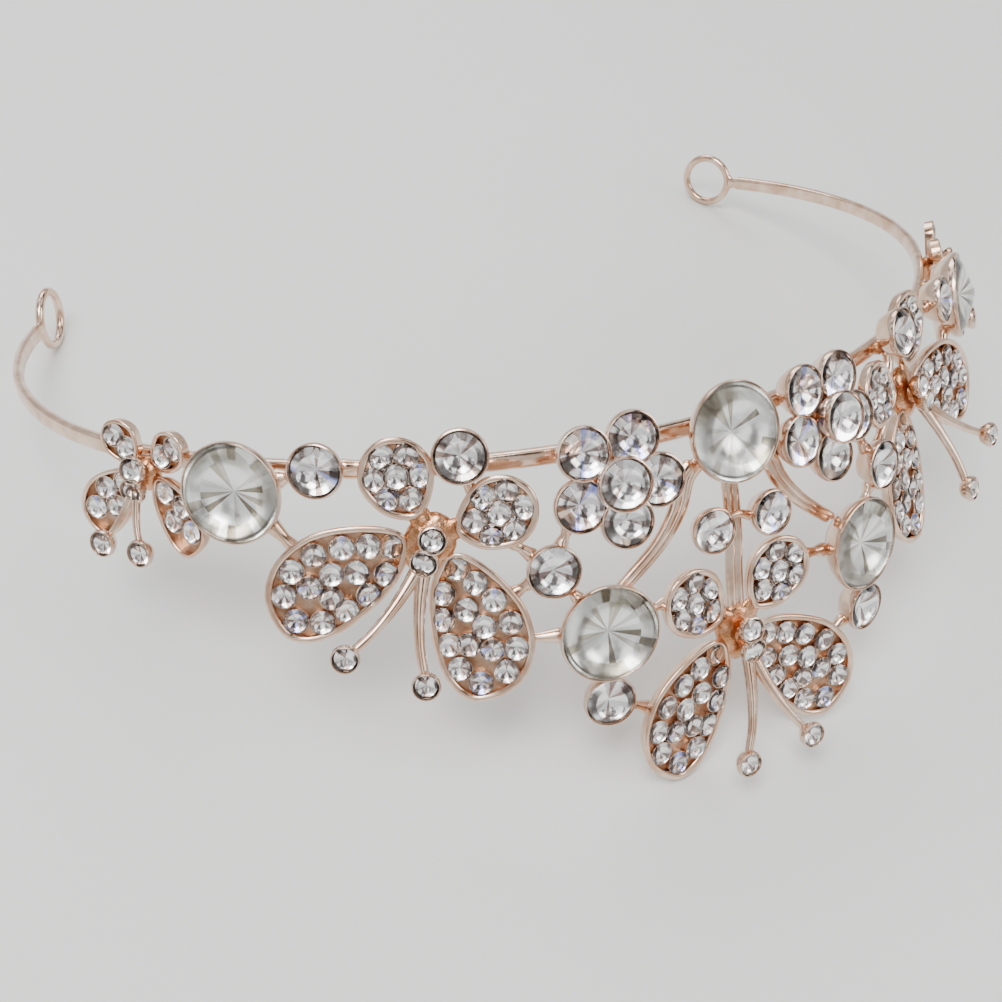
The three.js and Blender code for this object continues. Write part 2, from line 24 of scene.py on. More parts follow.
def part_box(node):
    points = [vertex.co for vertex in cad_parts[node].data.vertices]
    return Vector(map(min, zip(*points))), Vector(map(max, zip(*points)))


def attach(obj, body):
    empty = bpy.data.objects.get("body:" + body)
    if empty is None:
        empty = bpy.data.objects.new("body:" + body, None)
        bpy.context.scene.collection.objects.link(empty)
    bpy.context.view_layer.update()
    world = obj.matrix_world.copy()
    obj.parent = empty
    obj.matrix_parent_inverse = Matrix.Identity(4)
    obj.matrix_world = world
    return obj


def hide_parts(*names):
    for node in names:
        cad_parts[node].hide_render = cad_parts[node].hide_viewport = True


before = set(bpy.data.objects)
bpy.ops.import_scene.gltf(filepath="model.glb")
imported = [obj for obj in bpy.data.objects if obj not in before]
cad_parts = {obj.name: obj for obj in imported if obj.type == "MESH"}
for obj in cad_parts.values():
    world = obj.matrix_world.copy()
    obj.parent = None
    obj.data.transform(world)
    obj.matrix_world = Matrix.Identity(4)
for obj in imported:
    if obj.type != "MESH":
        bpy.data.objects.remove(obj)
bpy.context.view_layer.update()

LOG = logging.getLogger("tiara")
MM = 0.001
# Attribute that holds a random value for each stone face, and how finely that value varies; the value
# picks the face's painted reflection colour on the foil.
FACET = "facet"
FACET_SPREAD = 40.0
SIDES = (("left", -1), ("right", 1))
Place = tuple[float, float]
Profile = Sequence[tuple[float, float]]


# ---- Layout --------------------------------------------------------------------------------


@dataclass(frozen=True)
class Panel:
    """The curved panel that the ornament follows, and the headband along its edge."""

    front_radius: float = 76.5
    front_half_length: float = 73.0
    side_radius: float = 45.5
    half_length: float = 125.3
    flare_middle: float = math.radians(17.3)
    flare_side: float = math.radians(10.9)
    flare_span: float = 60.0
    curl_radius: float = 141.0

    def band(self, s: float) -> tuple[Vector, float]:
        """Point of the headband's centre line at s, and the direction of the band there.

        Args:
            s: Distance along the headband from its middle.

        Returns:
            The point, and the direction.
        """
        run, side = abs(s), math.copysign(1.0, s)
        front = min(run, self.front_half_length) / self.front_radius
        angle = front + max(run - self.front_half_length, 0.0) / self.side_radius
        x = self.front_radius * math.sin(front)
        x += self.side_radius * (math.sin(angle) - math.sin(front))
        y = self.front_radius * (1 - math.cos(front))
        y += self.side_radius * (math.cos(front) - math.cos(angle))
        return Vector((side * x, y, 0.0)), side * angle

    def flare(self, s: float) -> float:
        """How far the panel leans outwards at s, in radians."""
        return self.flare_middle - (self.flare_middle - self.flare_side) * (s / self.flare_span) ** 2

    def outward(self, s: float) -> Vector:
        """Level direction away from the head at s."""
        angle = self.band(s)[1]
        return Vector((math.sin(angle), -math.cos(angle), 0.0))

    def along(self, s: float) -> Vector:
        """Direction of the headband at s."""
        angle = self.band(s)[1]
        return Vector((math.cos(angle), math.sin(angle), 0.0))

    def lean(self, s: float, tilt: float) -> tuple[Vector, Vector]:
        """Directions towards the headband and out of the panel, at s and a tilt."""
        up, out = Vector((0, 0, 1)), self.outward(s)
        return up * math.cos(tilt) - out * math.sin(tilt), out * math.cos(tilt) + up * math.sin(tilt)

    def point(self, s: float, h: float, lift: float) -> Vector:
        """Point of the pattern in the tiara's own frame."""
        bandward, normal = self.lean(s, self.flare(s))
        return self.band(s)[0] - bandward * h + normal * (lift - h * h / (2 * self.curl_radius))

    def frame(self, s: float, h: float, lift: float, turn: float = 0.0) -> Matrix:
        """Frame at a place: x along the band, y towards the band, z out of the panel.

        Args:
            s: Distance along the band.
            h: Distance towards the crest.
            lift: Distance outwards.
            turn: Turn about z, in degrees.

        Returns:
            The frame as a 4 by 4 matrix in millimetres.
        """
        bandward, normal = self.lean(s, self.flare(s) - h / self.curl_radius)
        axes = Matrix((self.along(s), bandward, normal)).transposed().to_4x4()
        axes.translation = self.point(s, h, lift)
        return axes @ Matrix.Rotation(math.radians(turn), 4, "Z")


PANEL = Panel()
RIVOLI_LIFT = 5.5
TOP_RIVOLI_LIFT = 5.2
CHATON_LIFT = 5.0
DROP_LIFT = 4.5
TOP_RIVOLI: Place = (0.0, 1.0)
LOWER_RIVOLI: Place = (17.3, 21.8)
SIDE_RIVOLI: Place = (57.0, 1.8)
CHATONS: tuple[Place, ...] = ((47.5, -1.0), (31.7, -1.9), (22.7, 13.0), (17.6, 31.0))
DROP: Place = (3.9, 12.4)


def box_middle(node: str) -> Vector:
    """Middle of a node's box, in millimetres."""
    low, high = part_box(node)
    return (low + high) / (2 * MM)


def resting_pose() -> Matrix:
    """Carries the tiara's own frame to where the frame's stones lie on the table.

    The pointed stones are the same on both sides of their middles, so the middles of their
    boxes are known points of the pattern.

    Returns:
        The move from the tiara's own frame to the table.
    """
    own_top = PANEL.point(*TOP_RIVOLI, TOP_RIVOLI_LIFT)
    own_side = PANEL.point(*SIDE_RIVOLI, RIVOLI_LIFT)
    top, side = box_middle("top_rivoli"), box_middle("right_side_rivoli")
    before, after = own_side - own_top, side - top
    tilt = math.atan2(after.z, after.y) - math.atan2(before.z, before.y)
    turn = Matrix.Rotation(tilt, 4, "X")
    return Matrix.Scale(MM, 4) @ Matrix.Translation(top - turn @ own_top) @ turn


REST = resting_pose()


# ---- Curves --------------------------------------------------------------------------------


def curve(points: Sequence[Vector], steps: int, closed: bool = False) -> list[Vector]:
    """A smooth line through points.

    Args:
        points: The points that it passes through.
        steps: Steps between one point and the next.
        closed: Whether it joins up with its start.

    Returns:
        The points of the line, with both ends if it is open.
    """
    count = len(points)
    pick = (lambda i: points[i % count]) if closed else (lambda i: points[min(max(i, 0), count - 1)])
    line = []
    for i in range(count if closed else count - 1):
        a, b, c, d = (pick(i + k) for k in (-1, 0, 1, 2))
        for step in range(steps):
            t = step / steps
            line.append(0.5 * ((2 * b) + (c - a) * t + (2 * a - 5 * b + 4 * c - d) * t * t
                               + (3 * b - a - 3 * c + d) * t ** 3))
    return line if closed else line + [points[-1].copy()]


def blend(values: Sequence[float], t: float) -> float:
    """Value at t, from 0 to 1, along evenly spaced values.

    Args:
        values: Numbers at even steps from 0 to 1.
        t: Where to read them, from 0 to 1.

    Returns:
        The number there, on the straight line between its neighbours.
    """
    place = t * (len(values) - 1)
    i = min(int(place), len(values) - 2)
    return values[i] + (values[i + 1] - values[i]) * (place - i)


# ---- Finishes ------------------------------------------------------------------------------


class Slot(Enum):
    """Material slots of the record."""

    ROSE_GOLD = "rose_gold"
    WING_METAL = "wing_metal"
    CRYSTAL = "crystal"
    PAVE = "pave"


Colour = tuple[float, float, float, float]


def tint(red: float, green: float, blue: float) -> Colour:
    """An opaque colour."""
    return (red, green, blue, 1.0)


def add_node(tree: bpy.types.NodeTree, kind: str, **values: object) -> bpy.types.Node:
    """A new shader node with some of its inputs set, which are named like_this.

    Args:
        tree: Node tree that gets the node.
        kind: Name of its type, without the word ShaderNode.
        values: What its inputs are set to.

    Returns:
        The new node.
    """
    node = tree.nodes.new("ShaderNode" + kind)
    set_inputs(node, **values)
    return node


def set_inputs(node: bpy.types.Node, **values: object) -> None:
    """Sets a node's inputs, which are named like_this."""
    for label, value in values.items():
        node.inputs[label.replace("_", " ").title()].default_value = value


def add_mix(tree: bpy.types.NodeTree) -> bpy.types.Node:
    """A node that mixes two colours.

    Args:
        tree: Node tree that gets the node.

    Returns:
        The new node, set to mix colours.
    """
    mix = add_node(tree, "Mix")
    mix.data_type = "RGBA"
    return mix


def link_up(tree: bpy.types.NodeTree, *wires: tuple) -> None:
    """Links nodes. Each wire is a node, its output, a node, and that one's input."""
    for source, output, target, entry in wires:
        tree.links.new(source.outputs[output], target.inputs[entry])


class NodeGroups:
    """Shader effects that several finishes share. Each is made once."""

    TONE_SPREAD = 0.28
    # Facet values at which the painted reflection becomes fully the shaded colour, and from which it
    # becomes the rare painted glint.
    SHADED_FACET_FULL = 0.8
    GLINT_FROM = 0.965

    @staticmethod
    def new(name: str, colours: Sequence[str], numbers: Sequence[str], kind: str,
            output: str) -> tuple[bpy.types.NodeTree, bpy.types.Node, bpy.types.Node]:
        """An empty group with named inputs and one output, and its two end nodes.

        Args:
            name: Name of the group.
            colours: Its colour inputs.
            numbers: Its number inputs.
            kind: Type of its output.
            output: Name of its output.

        Returns:
            The group, the node that gives its inputs and the node that takes its result.
        """
        tree = bpy.data.node_groups.new(name, "ShaderNodeTree")
        for label in colours:
            tree.interface.new_socket(name=label, in_out="INPUT", socket_type="NodeSocketColor")
        for label in numbers:
            tree.interface.new_socket(name=label, in_out="INPUT", socket_type="NodeSocketFloat")
        tree.interface.new_socket(name=output, in_out="OUTPUT", socket_type=kind)
        return tree, tree.nodes.new("NodeGroupInput"), tree.nodes.new("NodeGroupOutput")

    @classmethod
    @cache
    def tone(cls) -> bpy.types.NodeTree:
        """Cloudy change between two colours, as plating shows over a casting.

        Returns:
            The group.
        """
        tree, given, result = cls.new("plating_tone", ("Light", "Deep"), ("Scale", "Balance"),
                                      "NodeSocketColor", "Color")
        place = add_node(tree, "TexCoord")
        cloud = add_node(tree, "TexNoise", detail=3.0)
        spread = add_node(tree, "MapRange", to_min=1.0, to_max=0.0)
        shift = add_node(tree, "Math")
        shift.inputs[1].default_value = cls.TONE_SPREAD
        mix = add_mix(tree)
        link_up(tree, (place, "Object", cloud, "Vector"), (given, "Scale", cloud, "Scale"),
                (cloud, "Fac", spread, "Value"), (given, "Balance", shift, 0),
                (given, "Balance", spread, "From Min"), (shift, 0, spread, "From Max"),
                (spread, "Result", mix, "Factor"), (given, "Light", mix, "A"),
                (given, "Deep", mix, "B"), (mix, "Result", result, "Color"))
        return tree

    @classmethod
    @cache
    def grain(cls) -> bpy.types.NodeTree:
        """Height of a cast skin: slow ripples with fine pits on them.

        Returns:
            The group.
        """
        tree, given, result = cls.new("cast_grain", (), ("Ripple Scale", "Pit Scale", "Pits"),
                                      "NodeSocketFloat", "Height")
        place = add_node(tree, "TexCoord")
        ripple, pits = (add_node(tree, "TexNoise", detail=2.0) for _ in range(2))
        add = add_node(tree, "Math")
        add.operation = "MULTIPLY_ADD"
        link_up(tree, (place, "Object", ripple, "Vector"), (given, "Ripple Scale", ripple, "Scale"),
                (place, "Object", pits, "Vector"), (given, "Pit Scale", pits, "Scale"),
                (pits, "Fac", add, 0), (given, "Pits", add, 1), (ripple, "Fac", add, 2),
                (add, 0, result, "Height"))
        return tree

    @classmethod
    @cache
    def flash(cls) -> bpy.types.NodeTree:
        """Painted reflections on a stone's foil: each facet's colour is lit, shaded or a rare glint,
        picked by its facet value in place of the light and shade that it would mirror.

        Returns:
            The group.
        """
        tree, given, result = cls.new("facet_flash", ("Bright", "Smoke", "Glint"), ("Share",),
                                      "NodeSocketColor", "Color")
        facet = add_node(tree, "Attribute")
        facet.attribute_name = FACET
        smoke = add_node(tree, "MapRange", from_max=cls.SHADED_FACET_FULL)
        glint = add_node(tree, "Math")
        glint.operation = "GREATER_THAN"
        glint.inputs[1].default_value = cls.GLINT_FROM
        first, second = add_mix(tree), add_mix(tree)
        link_up(tree, (facet, "Fac", smoke, "Value"), (given, "Share", smoke, "From Min"),
                (facet, "Fac", glint, 0), (smoke, "Result", first, "Factor"),
                (given, "Bright", first, "A"), (given, "Smoke", first, "B"),
                (glint, 0, second, "Factor"), (first, "Result", second, "A"),
                (given, "Glint", second, "B"), (second, "Result", result, "Color"))
        return tree


def new_material(name: str) -> tuple[bpy.types.Material, bpy.types.Node]:
    """A material with its principled shader.

    Args:
        name: Name of the material.

    Returns:
        The material and its shader.
    """
    material = bpy.data.materials.new(name)
    material.use_nodes = True
    return material, material.node_tree.nodes["Principled BSDF"]


def place_group(material: bpy.types.Material, group: bpy.types.NodeTree,
                **values: object) -> bpy.types.Node:
    """Puts a shared group into a material with its own values.

    Args:
        material: Material that gets the group.
        group: The shared effect.
        values: This material's values for it.

    Returns:
        The node that holds the group.
    """
    node = add_node(material.node_tree, "Group")
    node.node_tree = group
    set_inputs(node, **values)
    return node


@dataclass(frozen=True)
class MetalFinish:
    """A plated metal surface."""

    name: str
    light: Colour
    deep: Colour
    roughness: float
    tone_scale: float = 300.0
    balance: float = 0.36
    ripple_scale: float = 700.0
    pits: float = 0.2
    relief: float = 0.1
    relief_depth: float = 0.0002

    @cache
    def material(self) -> bpy.types.Material:
        """The finish as a material, made once.

        Returns:
            The material.
        """
        material, shader = new_material(self.name)
        set_inputs(shader, metallic=1.0, roughness=self.roughness)
        tone = place_group(material, NodeGroups.tone(), light=self.light, deep=self.deep,
                           scale=self.tone_scale, balance=self.balance)
        grain = place_group(material, NodeGroups.grain(), ripple_scale=self.ripple_scale,
                            pit_scale=self.ripple_scale * 4.0, pits=self.pits)
        bump = add_node(material.node_tree, "Bump", strength=self.relief, distance=self.relief_depth)
        link_up(material.node_tree, (tone, "Color", shader, "Base Color"),
                (grain, "Height", bump, "Height"), (bump, "Normal", shader, "Normal"))
        return material


@dataclass(frozen=True)
class GlassFinish:
    """The clear front of a stone."""

    name: str
    colour: Colour
    index: float = 1.55
    roughness: float = 0.0

    @cache
    def material(self) -> bpy.types.Material:
        """The finish as a material, made once.

        Returns:
            The material.
        """
        material, shader = new_material(self.name)
        set_inputs(shader, base_color=self.colour, transmission_weight=1.0, metallic=0.0,
                   roughness=self.roughness)
        shader.inputs["IOR"].default_value = self.index
        return material


@dataclass(frozen=True)
class FoilFinish:
    """The mirrored back of a stone, with painted reflections: each facet is lit, shaded or a glint."""

    name: str
    bright: Colour
    smoke: Colour
    glint: Colour
    share: float
    roughness: float

    @cache
    def material(self) -> bpy.types.Material:
        """The finish as a material, made once.

        Returns:
            The material.
        """
        material, shader = new_material(self.name)
        set_inputs(shader, metallic=1.0, roughness=self.roughness)
        flash = place_group(material, NodeGroups.flash(), bright=self.bright, smoke=self.smoke,
                            glint=self.glint, share=self.share)
        link_up(material.node_tree, (flash, "Color", shader, "Base Color"))
        return material


POLISHED = MetalFinish("polished_rose_gold", tint(0.86, 0.66, 0.53), tint(0.66, 0.43, 0.30), 0.15)
BEZEL = MetalFinish("bezel_champagne", tint(0.80, 0.64, 0.53), tint(0.62, 0.42, 0.31), 0.18)
# The tray floor's champagne metal is darkened as painted shade of the sunken floor between the stones;
# its pits and ripples are the cast skin's own.
TRAY_FLOOR = MetalFinish("tray_floor_champagne_painted_shade", tint(0.52, 0.35, 0.25), tint(0.30, 0.17, 0.10), 0.3,
                         tone_scale=500.0, ripple_scale=1500.0, pits=0.6, relief=0.4)
# The deep copper colour of the rough castings (hubs, webs, body posts, flower cores and knots) is partly
# the cast metal's own and partly painted shade in these low places between the settings.
ROUGH_CAST = MetalFinish("rough_cast_copper_and_painted_shade", tint(0.74, 0.42, 0.25), tint(0.48, 0.22, 0.10), 0.22,
                         tone_scale=600.0, balance=0.42, ripple_scale=1100.0, pits=0.35, relief=0.4)
CLEAR = GlassFinish("clear_crystal", tint(0.99, 0.99, 1.0))
RIVOLI_GLASS = GlassFinish("rivoli_crystal", tint(0.96, 0.98, 0.965), 1.4)
# Foil colours are painted reflections: a lit, a shaded and a rare glint colour for each facet, with
# share the part of facets that stay fully lit. The stone foil's glint is a painted blue flash; the
# rivoli foil's glint is a rare dark brown facet, painted shade.
FOIL = FoilFinish("stone_foil", tint(1.0, 0.99, 0.985), tint(0.30, 0.22, 0.19),
                  tint(0.50, 0.54, 0.95), 0.56, 0.1)
RIVOLI_FOIL = FoilFinish("rivoli_foil", tint(1.0, 1.0, 0.99), tint(0.50, 0.46, 0.38),
                         tint(0.26, 0.22, 0.17), 0.5, 0.2)


# ---- Workbench -----------------------------------------------------------------------------


@dataclass
class Blank:
    """A closed shape on the bench, in millimetres, with the finishes that its faces use."""

    coats: list[bpy.types.Material]
    smooth: bool = True
    mesh: bmesh.types.BMesh = field(default_factory=bmesh.new)

    def carry(self, place: Matrix) -> "Blank":
        """Moves the whole shape."""
        bmesh.ops.transform(self.mesh, matrix=place, verts=self.mesh.verts)
        return self

    def face_out(self) -> "Blank":
        """Turns every face outwards."""
        bmesh.ops.recalc_face_normals(self.mesh, faces=self.mesh.faces)
        return self

    def roughen(self, depth: float, scale: float) -> "Blank":
        """Presses the skin in and out with a fixed pattern of lumps.

        Args:
            depth: How far the skin moves.
            scale: How fine the pattern is.

        Returns:
            The same blank.
        """
        self.mesh.normal_update()
        moves = [(v, v.normal * depth * noise.noise(v.co * scale)) for v in self.mesh.verts]
        for vertex, move in moves:
            vertex.co += move
        return self


def draw_through(blank: Blank, frames: Sequence[Matrix],
                 coat_of: Callable[[int], int] = lambda step: 0) -> Blank:
    """Draws a shape's only ring through frames and closes both ends.

    Args:
        blank: The shape, which holds nothing but the ring in its first frame.
        frames: The ring's frames, one after another.
        coat_of: Which finish the skin has after each frame.

    Returns:
        The shape.
    """
    mesh = blank.mesh
    ring, edges = list(mesh.verts), list(mesh.edges)
    ends = [ring]
    for step, (before, after) in enumerate(zip(frames, frames[1:])):
        grown = bmesh.ops.extrude_edge_only(mesh, edges=edges)["geom"]
        ring = [part for part in grown if isinstance(part, bmesh.types.BMVert)]
        fresh = set(ring)
        edges = [part for part in grown
                 if isinstance(part, bmesh.types.BMEdge) and set(part.verts) <= fresh]
        for part in grown:
            if isinstance(part, bmesh.types.BMFace):
                part.material_index = coat_of(step)
        bmesh.ops.transform(mesh, matrix=after @ before.inverted(), verts=ring)
    ends.append(ring)
    for end in ends:
        bmesh.ops.contextual_create(mesh, geom=end)
    return blank.face_out()


def loft(frames: Sequence[Matrix], coats: Sequence[MetalFinish], sides: int = 16,
         coat_of: Callable[[int], int] = lambda step: 0) -> Blank:
    """A skin over rings of unit radius, each set in its frame, closed at both ends.

    Args:
        frames: Where each ring of the skin stands.
        coats: Finishes of the skin.
        sides: Corners of a ring.
        coat_of: Which finish a stretch between two rings has.

    Returns:
        The closed skin.
    """
    blank = Blank([coat.material() for coat in coats])
    bmesh.ops.create_circle(blank.mesh, segments=sides, radius=1.0, matrix=frames[0])
    return draw_through(blank, frames, coat_of)


def turned(profile: Profile, coats: Sequence[MetalFinish], sides: int = 24,
           coat_of: Callable[[int], int] = lambda step: 0) -> Blank:
    """A turned shape: the skin over circles of (radius, height)."""
    frames = [Matrix.Translation((0, 0, z)) @ Matrix.Diagonal((r, r, 1, 1)) for r, z in profile]
    return loft(frames, coats, sides, coat_of)


ROUND_END = ((0.5, 0.82), (0.85, 0.45))


def strand(line: Sequence[Vector], normals: Sequence[Vector], widths: Sequence[float],
           depths: Sequence[float], coat: MetalFinish, sides: int = 10) -> Blank:
    """A wire along a line, with an oval section that changes on the way.

    Args:
        line: Points along the middle of the wire.
        normals: The direction that the section's depth follows, at each point.
        widths: Evenly spaced half widths.
        depths: Evenly spaced half depths.
        coat: The finish.
        sides: Sides of the section.

    Returns:
        The wire with rounded ends.
    """
    last = len(line) - 1
    frames = []
    for i, point in enumerate(line):
        ahead = (line[min(i + 1, last)] - line[max(i - 1, 0)]).normalized()
        across = normals[i].cross(ahead).normalized()
        wide, deep = blend(widths, i / last), blend(depths, i / last)
        axes = Matrix((across * wide, ahead.cross(across) * deep, ahead)).transposed().to_4x4()
        axes.translation = point
        frames.append(axes)
    caps = {}
    for end, way in ((0, -1), (-1, 1)):
        reach = way * min(widths[end], depths[end])
        caps[end] = [frames[end] @ Matrix.Translation((0, 0, out * reach))
                     @ Matrix.Diagonal((size, size, 1, 1)) for out, size in ROUND_END]
    return loft(caps[0][::-1] + frames + caps[-1], [coat], sides)


def panel_strand(places: Sequence[Place], lift: float, widths: Sequence[float],
                 depths: Sequence[float], coat: MetalFinish, steps: int = 6, sides: int = 10) -> Blank:
    """A strand through places of the pattern at one lift.

    Args:
        places: Points of the pattern that the strand passes.
        lift: Height over the panel.
        widths: Widths along it.
        depths: Thicknesses along it.
        coat: Its finish.
        steps: Rings from one place to the next.
        sides: Corners of a ring.

    Returns:
        The strand.
    """
    line = curve([PANEL.point(s, h, lift) for s, h in places], steps)
    spots = [places[i // steps][0] for i in range(len(line))]
    normals = [PANEL.lean(s, PANEL.flare(s))[1] for s in spots]
    return strand(line, normals, widths, depths, coat, sides)


def knot(place: Vector, size: Vector, coat: MetalFinish, rough: float = 0.18) -> Blank:
    """A lump of solder or cast metal.

    Args:
        place: Its middle.
        size: Its half sizes.
        coat: Its finish.
        rough: How lumpy it is.

    Returns:
        The lump.
    """
    blank = Blank([coat.material()])
    bmesh.ops.create_icosphere(blank.mesh, subdivisions=2, radius=1.0)
    blank.carry(Matrix.Translation(place) @ Matrix.Diagonal((*size, 1)))
    return blank.roughen(rough, 1.1).face_out()


SHARP_ANGLE = math.radians(42)


def assemble(name: str, blanks: Iterable[Blank], slot: Slot, *nodes: str) -> bpy.types.Object:
    """Joins shapes into one finished piece in its place on the table.

    Args:
        name: The piece's name.
        blanks: The shapes, which are used up.
        slot: The record's material slot; not used.
        nodes: The frame's nodes that the piece stands for.

    Returns:
        The piece.
    """
    whole, coats = bmesh.new(), []
    for blank in blanks:
        for coat in blank.coats:
            if coat not in coats:
                coats.append(coat)
        for face in blank.mesh.faces:
            face.material_index = coats.index(blank.coats[face.material_index])
            face.smooth = blank.smooth
        spare = bpy.data.meshes.new("spare")
        blank.mesh.to_mesh(spare)
        whole.from_mesh(spare)
        blank.mesh.free()
        bpy.data.meshes.remove(spare)
    bmesh.ops.transform(whole, matrix=REST, verts=whole.verts)
    bmesh.ops.triangulate(whole, faces=[face for face in whole.faces if len(face.verts) > 4])
    mesh = bpy.data.meshes.new(name)
    whole.to_mesh(mesh)
    whole.free()
    for coat in coats:
        mesh.materials.append(coat)
    mesh.set_sharp_from_angle(angle=SHARP_ANGLE)
    piece = bpy.data.objects.new(name, mesh)
    bpy.context.scene.collection.objects.link(piece)
    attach(piece, "root")
    if nodes:
        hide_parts(*nodes)
    LOG.info("%s: %d faces", name, len(mesh.polygons))
    return piece


# ---- Stones and their settings -------------------------------------------------------------


@dataclass(frozen=True)
class Ring:
    """One ring of a cut stone's corners: count, radius, height, and its turn in half steps."""

    count: int
    radius: float
    height: float
    half_steps: int = 0


@dataclass(frozen=True)
class Cut:
    """A cut stone and its setting, in millimetres."""

    radius: float
    back: float
    wall: float
    rings: tuple[Ring, ...]
    glass: GlassFinish
    foil: FoilFinish
    girdle: float = 0.3
    gap: float = 0.3
    floor: float = 0.4
    rim: float = 0.2

    @property
    def cup_radius(self) -> float:
        """Outer radius of the setting."""
        return self.radius + self.gap + self.wall

    @property
    def cup_depth(self) -> float:
        """Depth of the setting below the stone's girdle."""
        return self.girdle / 2 + self.back + self.gap + self.floor

    def stone(self, place: Matrix, turn: float = 0.0) -> Blank:
        """The stone: flat facets, clear in front and mirrored behind.

        Args:
            place: Where the stone sits.
            turn: Its turn about its own axis.

        Returns:
            The stone.
        """
        blank = Blank([self.glass.material(), self.foil.material()], smooth=False)
        for ring in self.rings:
            spin = Matrix.Rotation(math.pi * ring.half_steps / max(ring.count, 1), 4, "Z")
            lift = Matrix.Translation((0, 0, ring.height))
            if ring.count == 1:
                bmesh.ops.create_vert(blank.mesh, co=(0, 0, ring.height))
            else:
                bmesh.ops.create_circle(blank.mesh, segments=ring.count, radius=ring.radius,
                                        matrix=lift @ spin)
        hull = bmesh.ops.convex_hull(blank.mesh, input=blank.mesh.verts)
        loose = {part for key in ("geom_interior", "geom_unused") for part in hull[key]}
        inner = [part for part in loose if isinstance(part, bmesh.types.BMVert)]
        bmesh.ops.delete(blank.mesh, geom=inner, context="VERTS")
        bmesh.ops.dissolve_limit(blank.mesh, angle_limit=math.radians(1.0), verts=blank.mesh.verts,
                                 edges=blank.mesh.edges)
        # Each face gets a random value that picks its painted reflection colour on the foil.
        tone = blank.mesh.faces.layers.float.new(FACET)
        for face in blank.mesh.faces:
            middle = face.calc_center_median()
            face.material_index = 1 if middle.z < -0.5 * self.girdle else 0
            face[tone] = noise.cell(middle * FACET_SPREAD + Vector((turn, 3.0 * turn, 0.0))) % 1.0
        blank.face_out()
        return blank.carry(place @ Matrix.Rotation(math.radians(turn), 4, "Z"))

    def cup(self, place: Matrix, sides: int = 32) -> Blank:
        """The setting: a bowl with a rolled rim over the stone's edge.

        Args:
            place: Where the stone sits.
            sides: Corners round the cup.

        Returns:
            The cup.
        """
        out, depth, rim = self.cup_radius, self.cup_depth, self.rim
        lip = self.radius - 0.02
        profile = [
            (0.3 * out, -depth), (0.58 * out, -depth), (0.66 * out, -0.93 * depth),
            (0.88 * out, -0.5 * depth), (0.97 * out, -0.22 * depth), (out, -0.3), (out, rim * 0.5),
            (out - 0.08, rim + 0.14), (out - 0.22, rim + 0.2), (lip + 0.16, rim + 0.1),
            (lip + 0.05, 0.05), (lip + 0.2, -0.35), (0.3 * out, -self.back - self.gap),
        ]
        return turned(profile, [POLISHED, BEZEL], sides, lambda step: 1 if step >= 5 else 0).carry(place)


HALF_GIRDLE = 0.15
HALF_SMALL_GIRDLE = 0.08


def rivoli_rings(radius: float, front: float, back: float) -> tuple[Ring, ...]:
    """Corners of a stone that comes to a point in front and behind.

    Args:
        radius: Radius of the stone.
        front: Height in front of the girdle.
        back: Depth behind it.

    Returns:
        The rings of corners, from front to back.
    """
    edge = HALF_GIRDLE
    return (
        Ring(1, 0, edge + front),
        Ring(14, 0.78 * radius, edge + front * 0.34, 1),
        Ring(28, radius, edge),
        Ring(28, radius, -edge),
        Ring(28, 0.62 * radius, -edge - back * 0.5),
        Ring(1, 0, -edge - back),
    )


def brilliant_rings(radius: float, front: float, back: float) -> tuple[Ring, ...]:
    """Corners of a round brilliant stone with a flat table.

    Args:
        radius: Radius of the stone.
        front: Height in front of the girdle.
        back: Depth behind it.

    Returns:
        The rings of corners, from front to back.
    """
    edge = HALF_GIRDLE
    return (
        Ring(8, 0.56 * radius, edge + front),
        Ring(8, 0.80 * radius, edge + front * 0.60, 1),
        Ring(20, radius, edge),
        Ring(20, radius, -edge),
        Ring(1, 0, -edge - back),
    )


def single_rings(radius: float, front: float, back: float) -> tuple[Ring, ...]:
    """Corners of a small stone with a few facets round its table.

    Args:
        radius: Radius of the stone.
        front: Height in front of the girdle.
        back: Depth behind it.

    Returns:
        The rings of corners, from front to back.
    """
    edge = HALF_SMALL_GIRDLE
    return (
        Ring(6, 0.54 * radius, edge + front),
        Ring(12, radius, edge),
        Ring(12, radius, -edge),
        Ring(1, 0, -edge - back),
    )


RIVOLI = Cut(5.95, 2.7, 0.0, rivoli_rings(5.95, 2.4, 1.7), RIVOLI_GLASS, RIVOLI_FOIL)
CHATON = Cut(3.0, 2.0, 0.05, brilliant_rings(3.0, 0.85, 1.25), CLEAR, FOIL)
DROP_CUT = Cut(2.6, 1.7, 0.05, brilliant_rings(2.6, 0.8, 1.1), CLEAR, FOIL)
ACCENT = Cut(1.5, 0.9, 0.15, single_rings(1.5, 0.5, 0.6), CLEAR, FOIL, girdle=0.16, floor=0.3, gap=0.1)
SEED = Cut(1.54, 0.75, 0.1, single_rings(1.54, 0.42, 0.6), CLEAR, FOIL, girdle=0.16)


def mirrored(place: Place, sign: int) -> Place:
    """A place on the other half of the pattern, or the same one."""
    return sign * place[0], place[1]


# ---- Headband ------------------------------------------------------------------------------


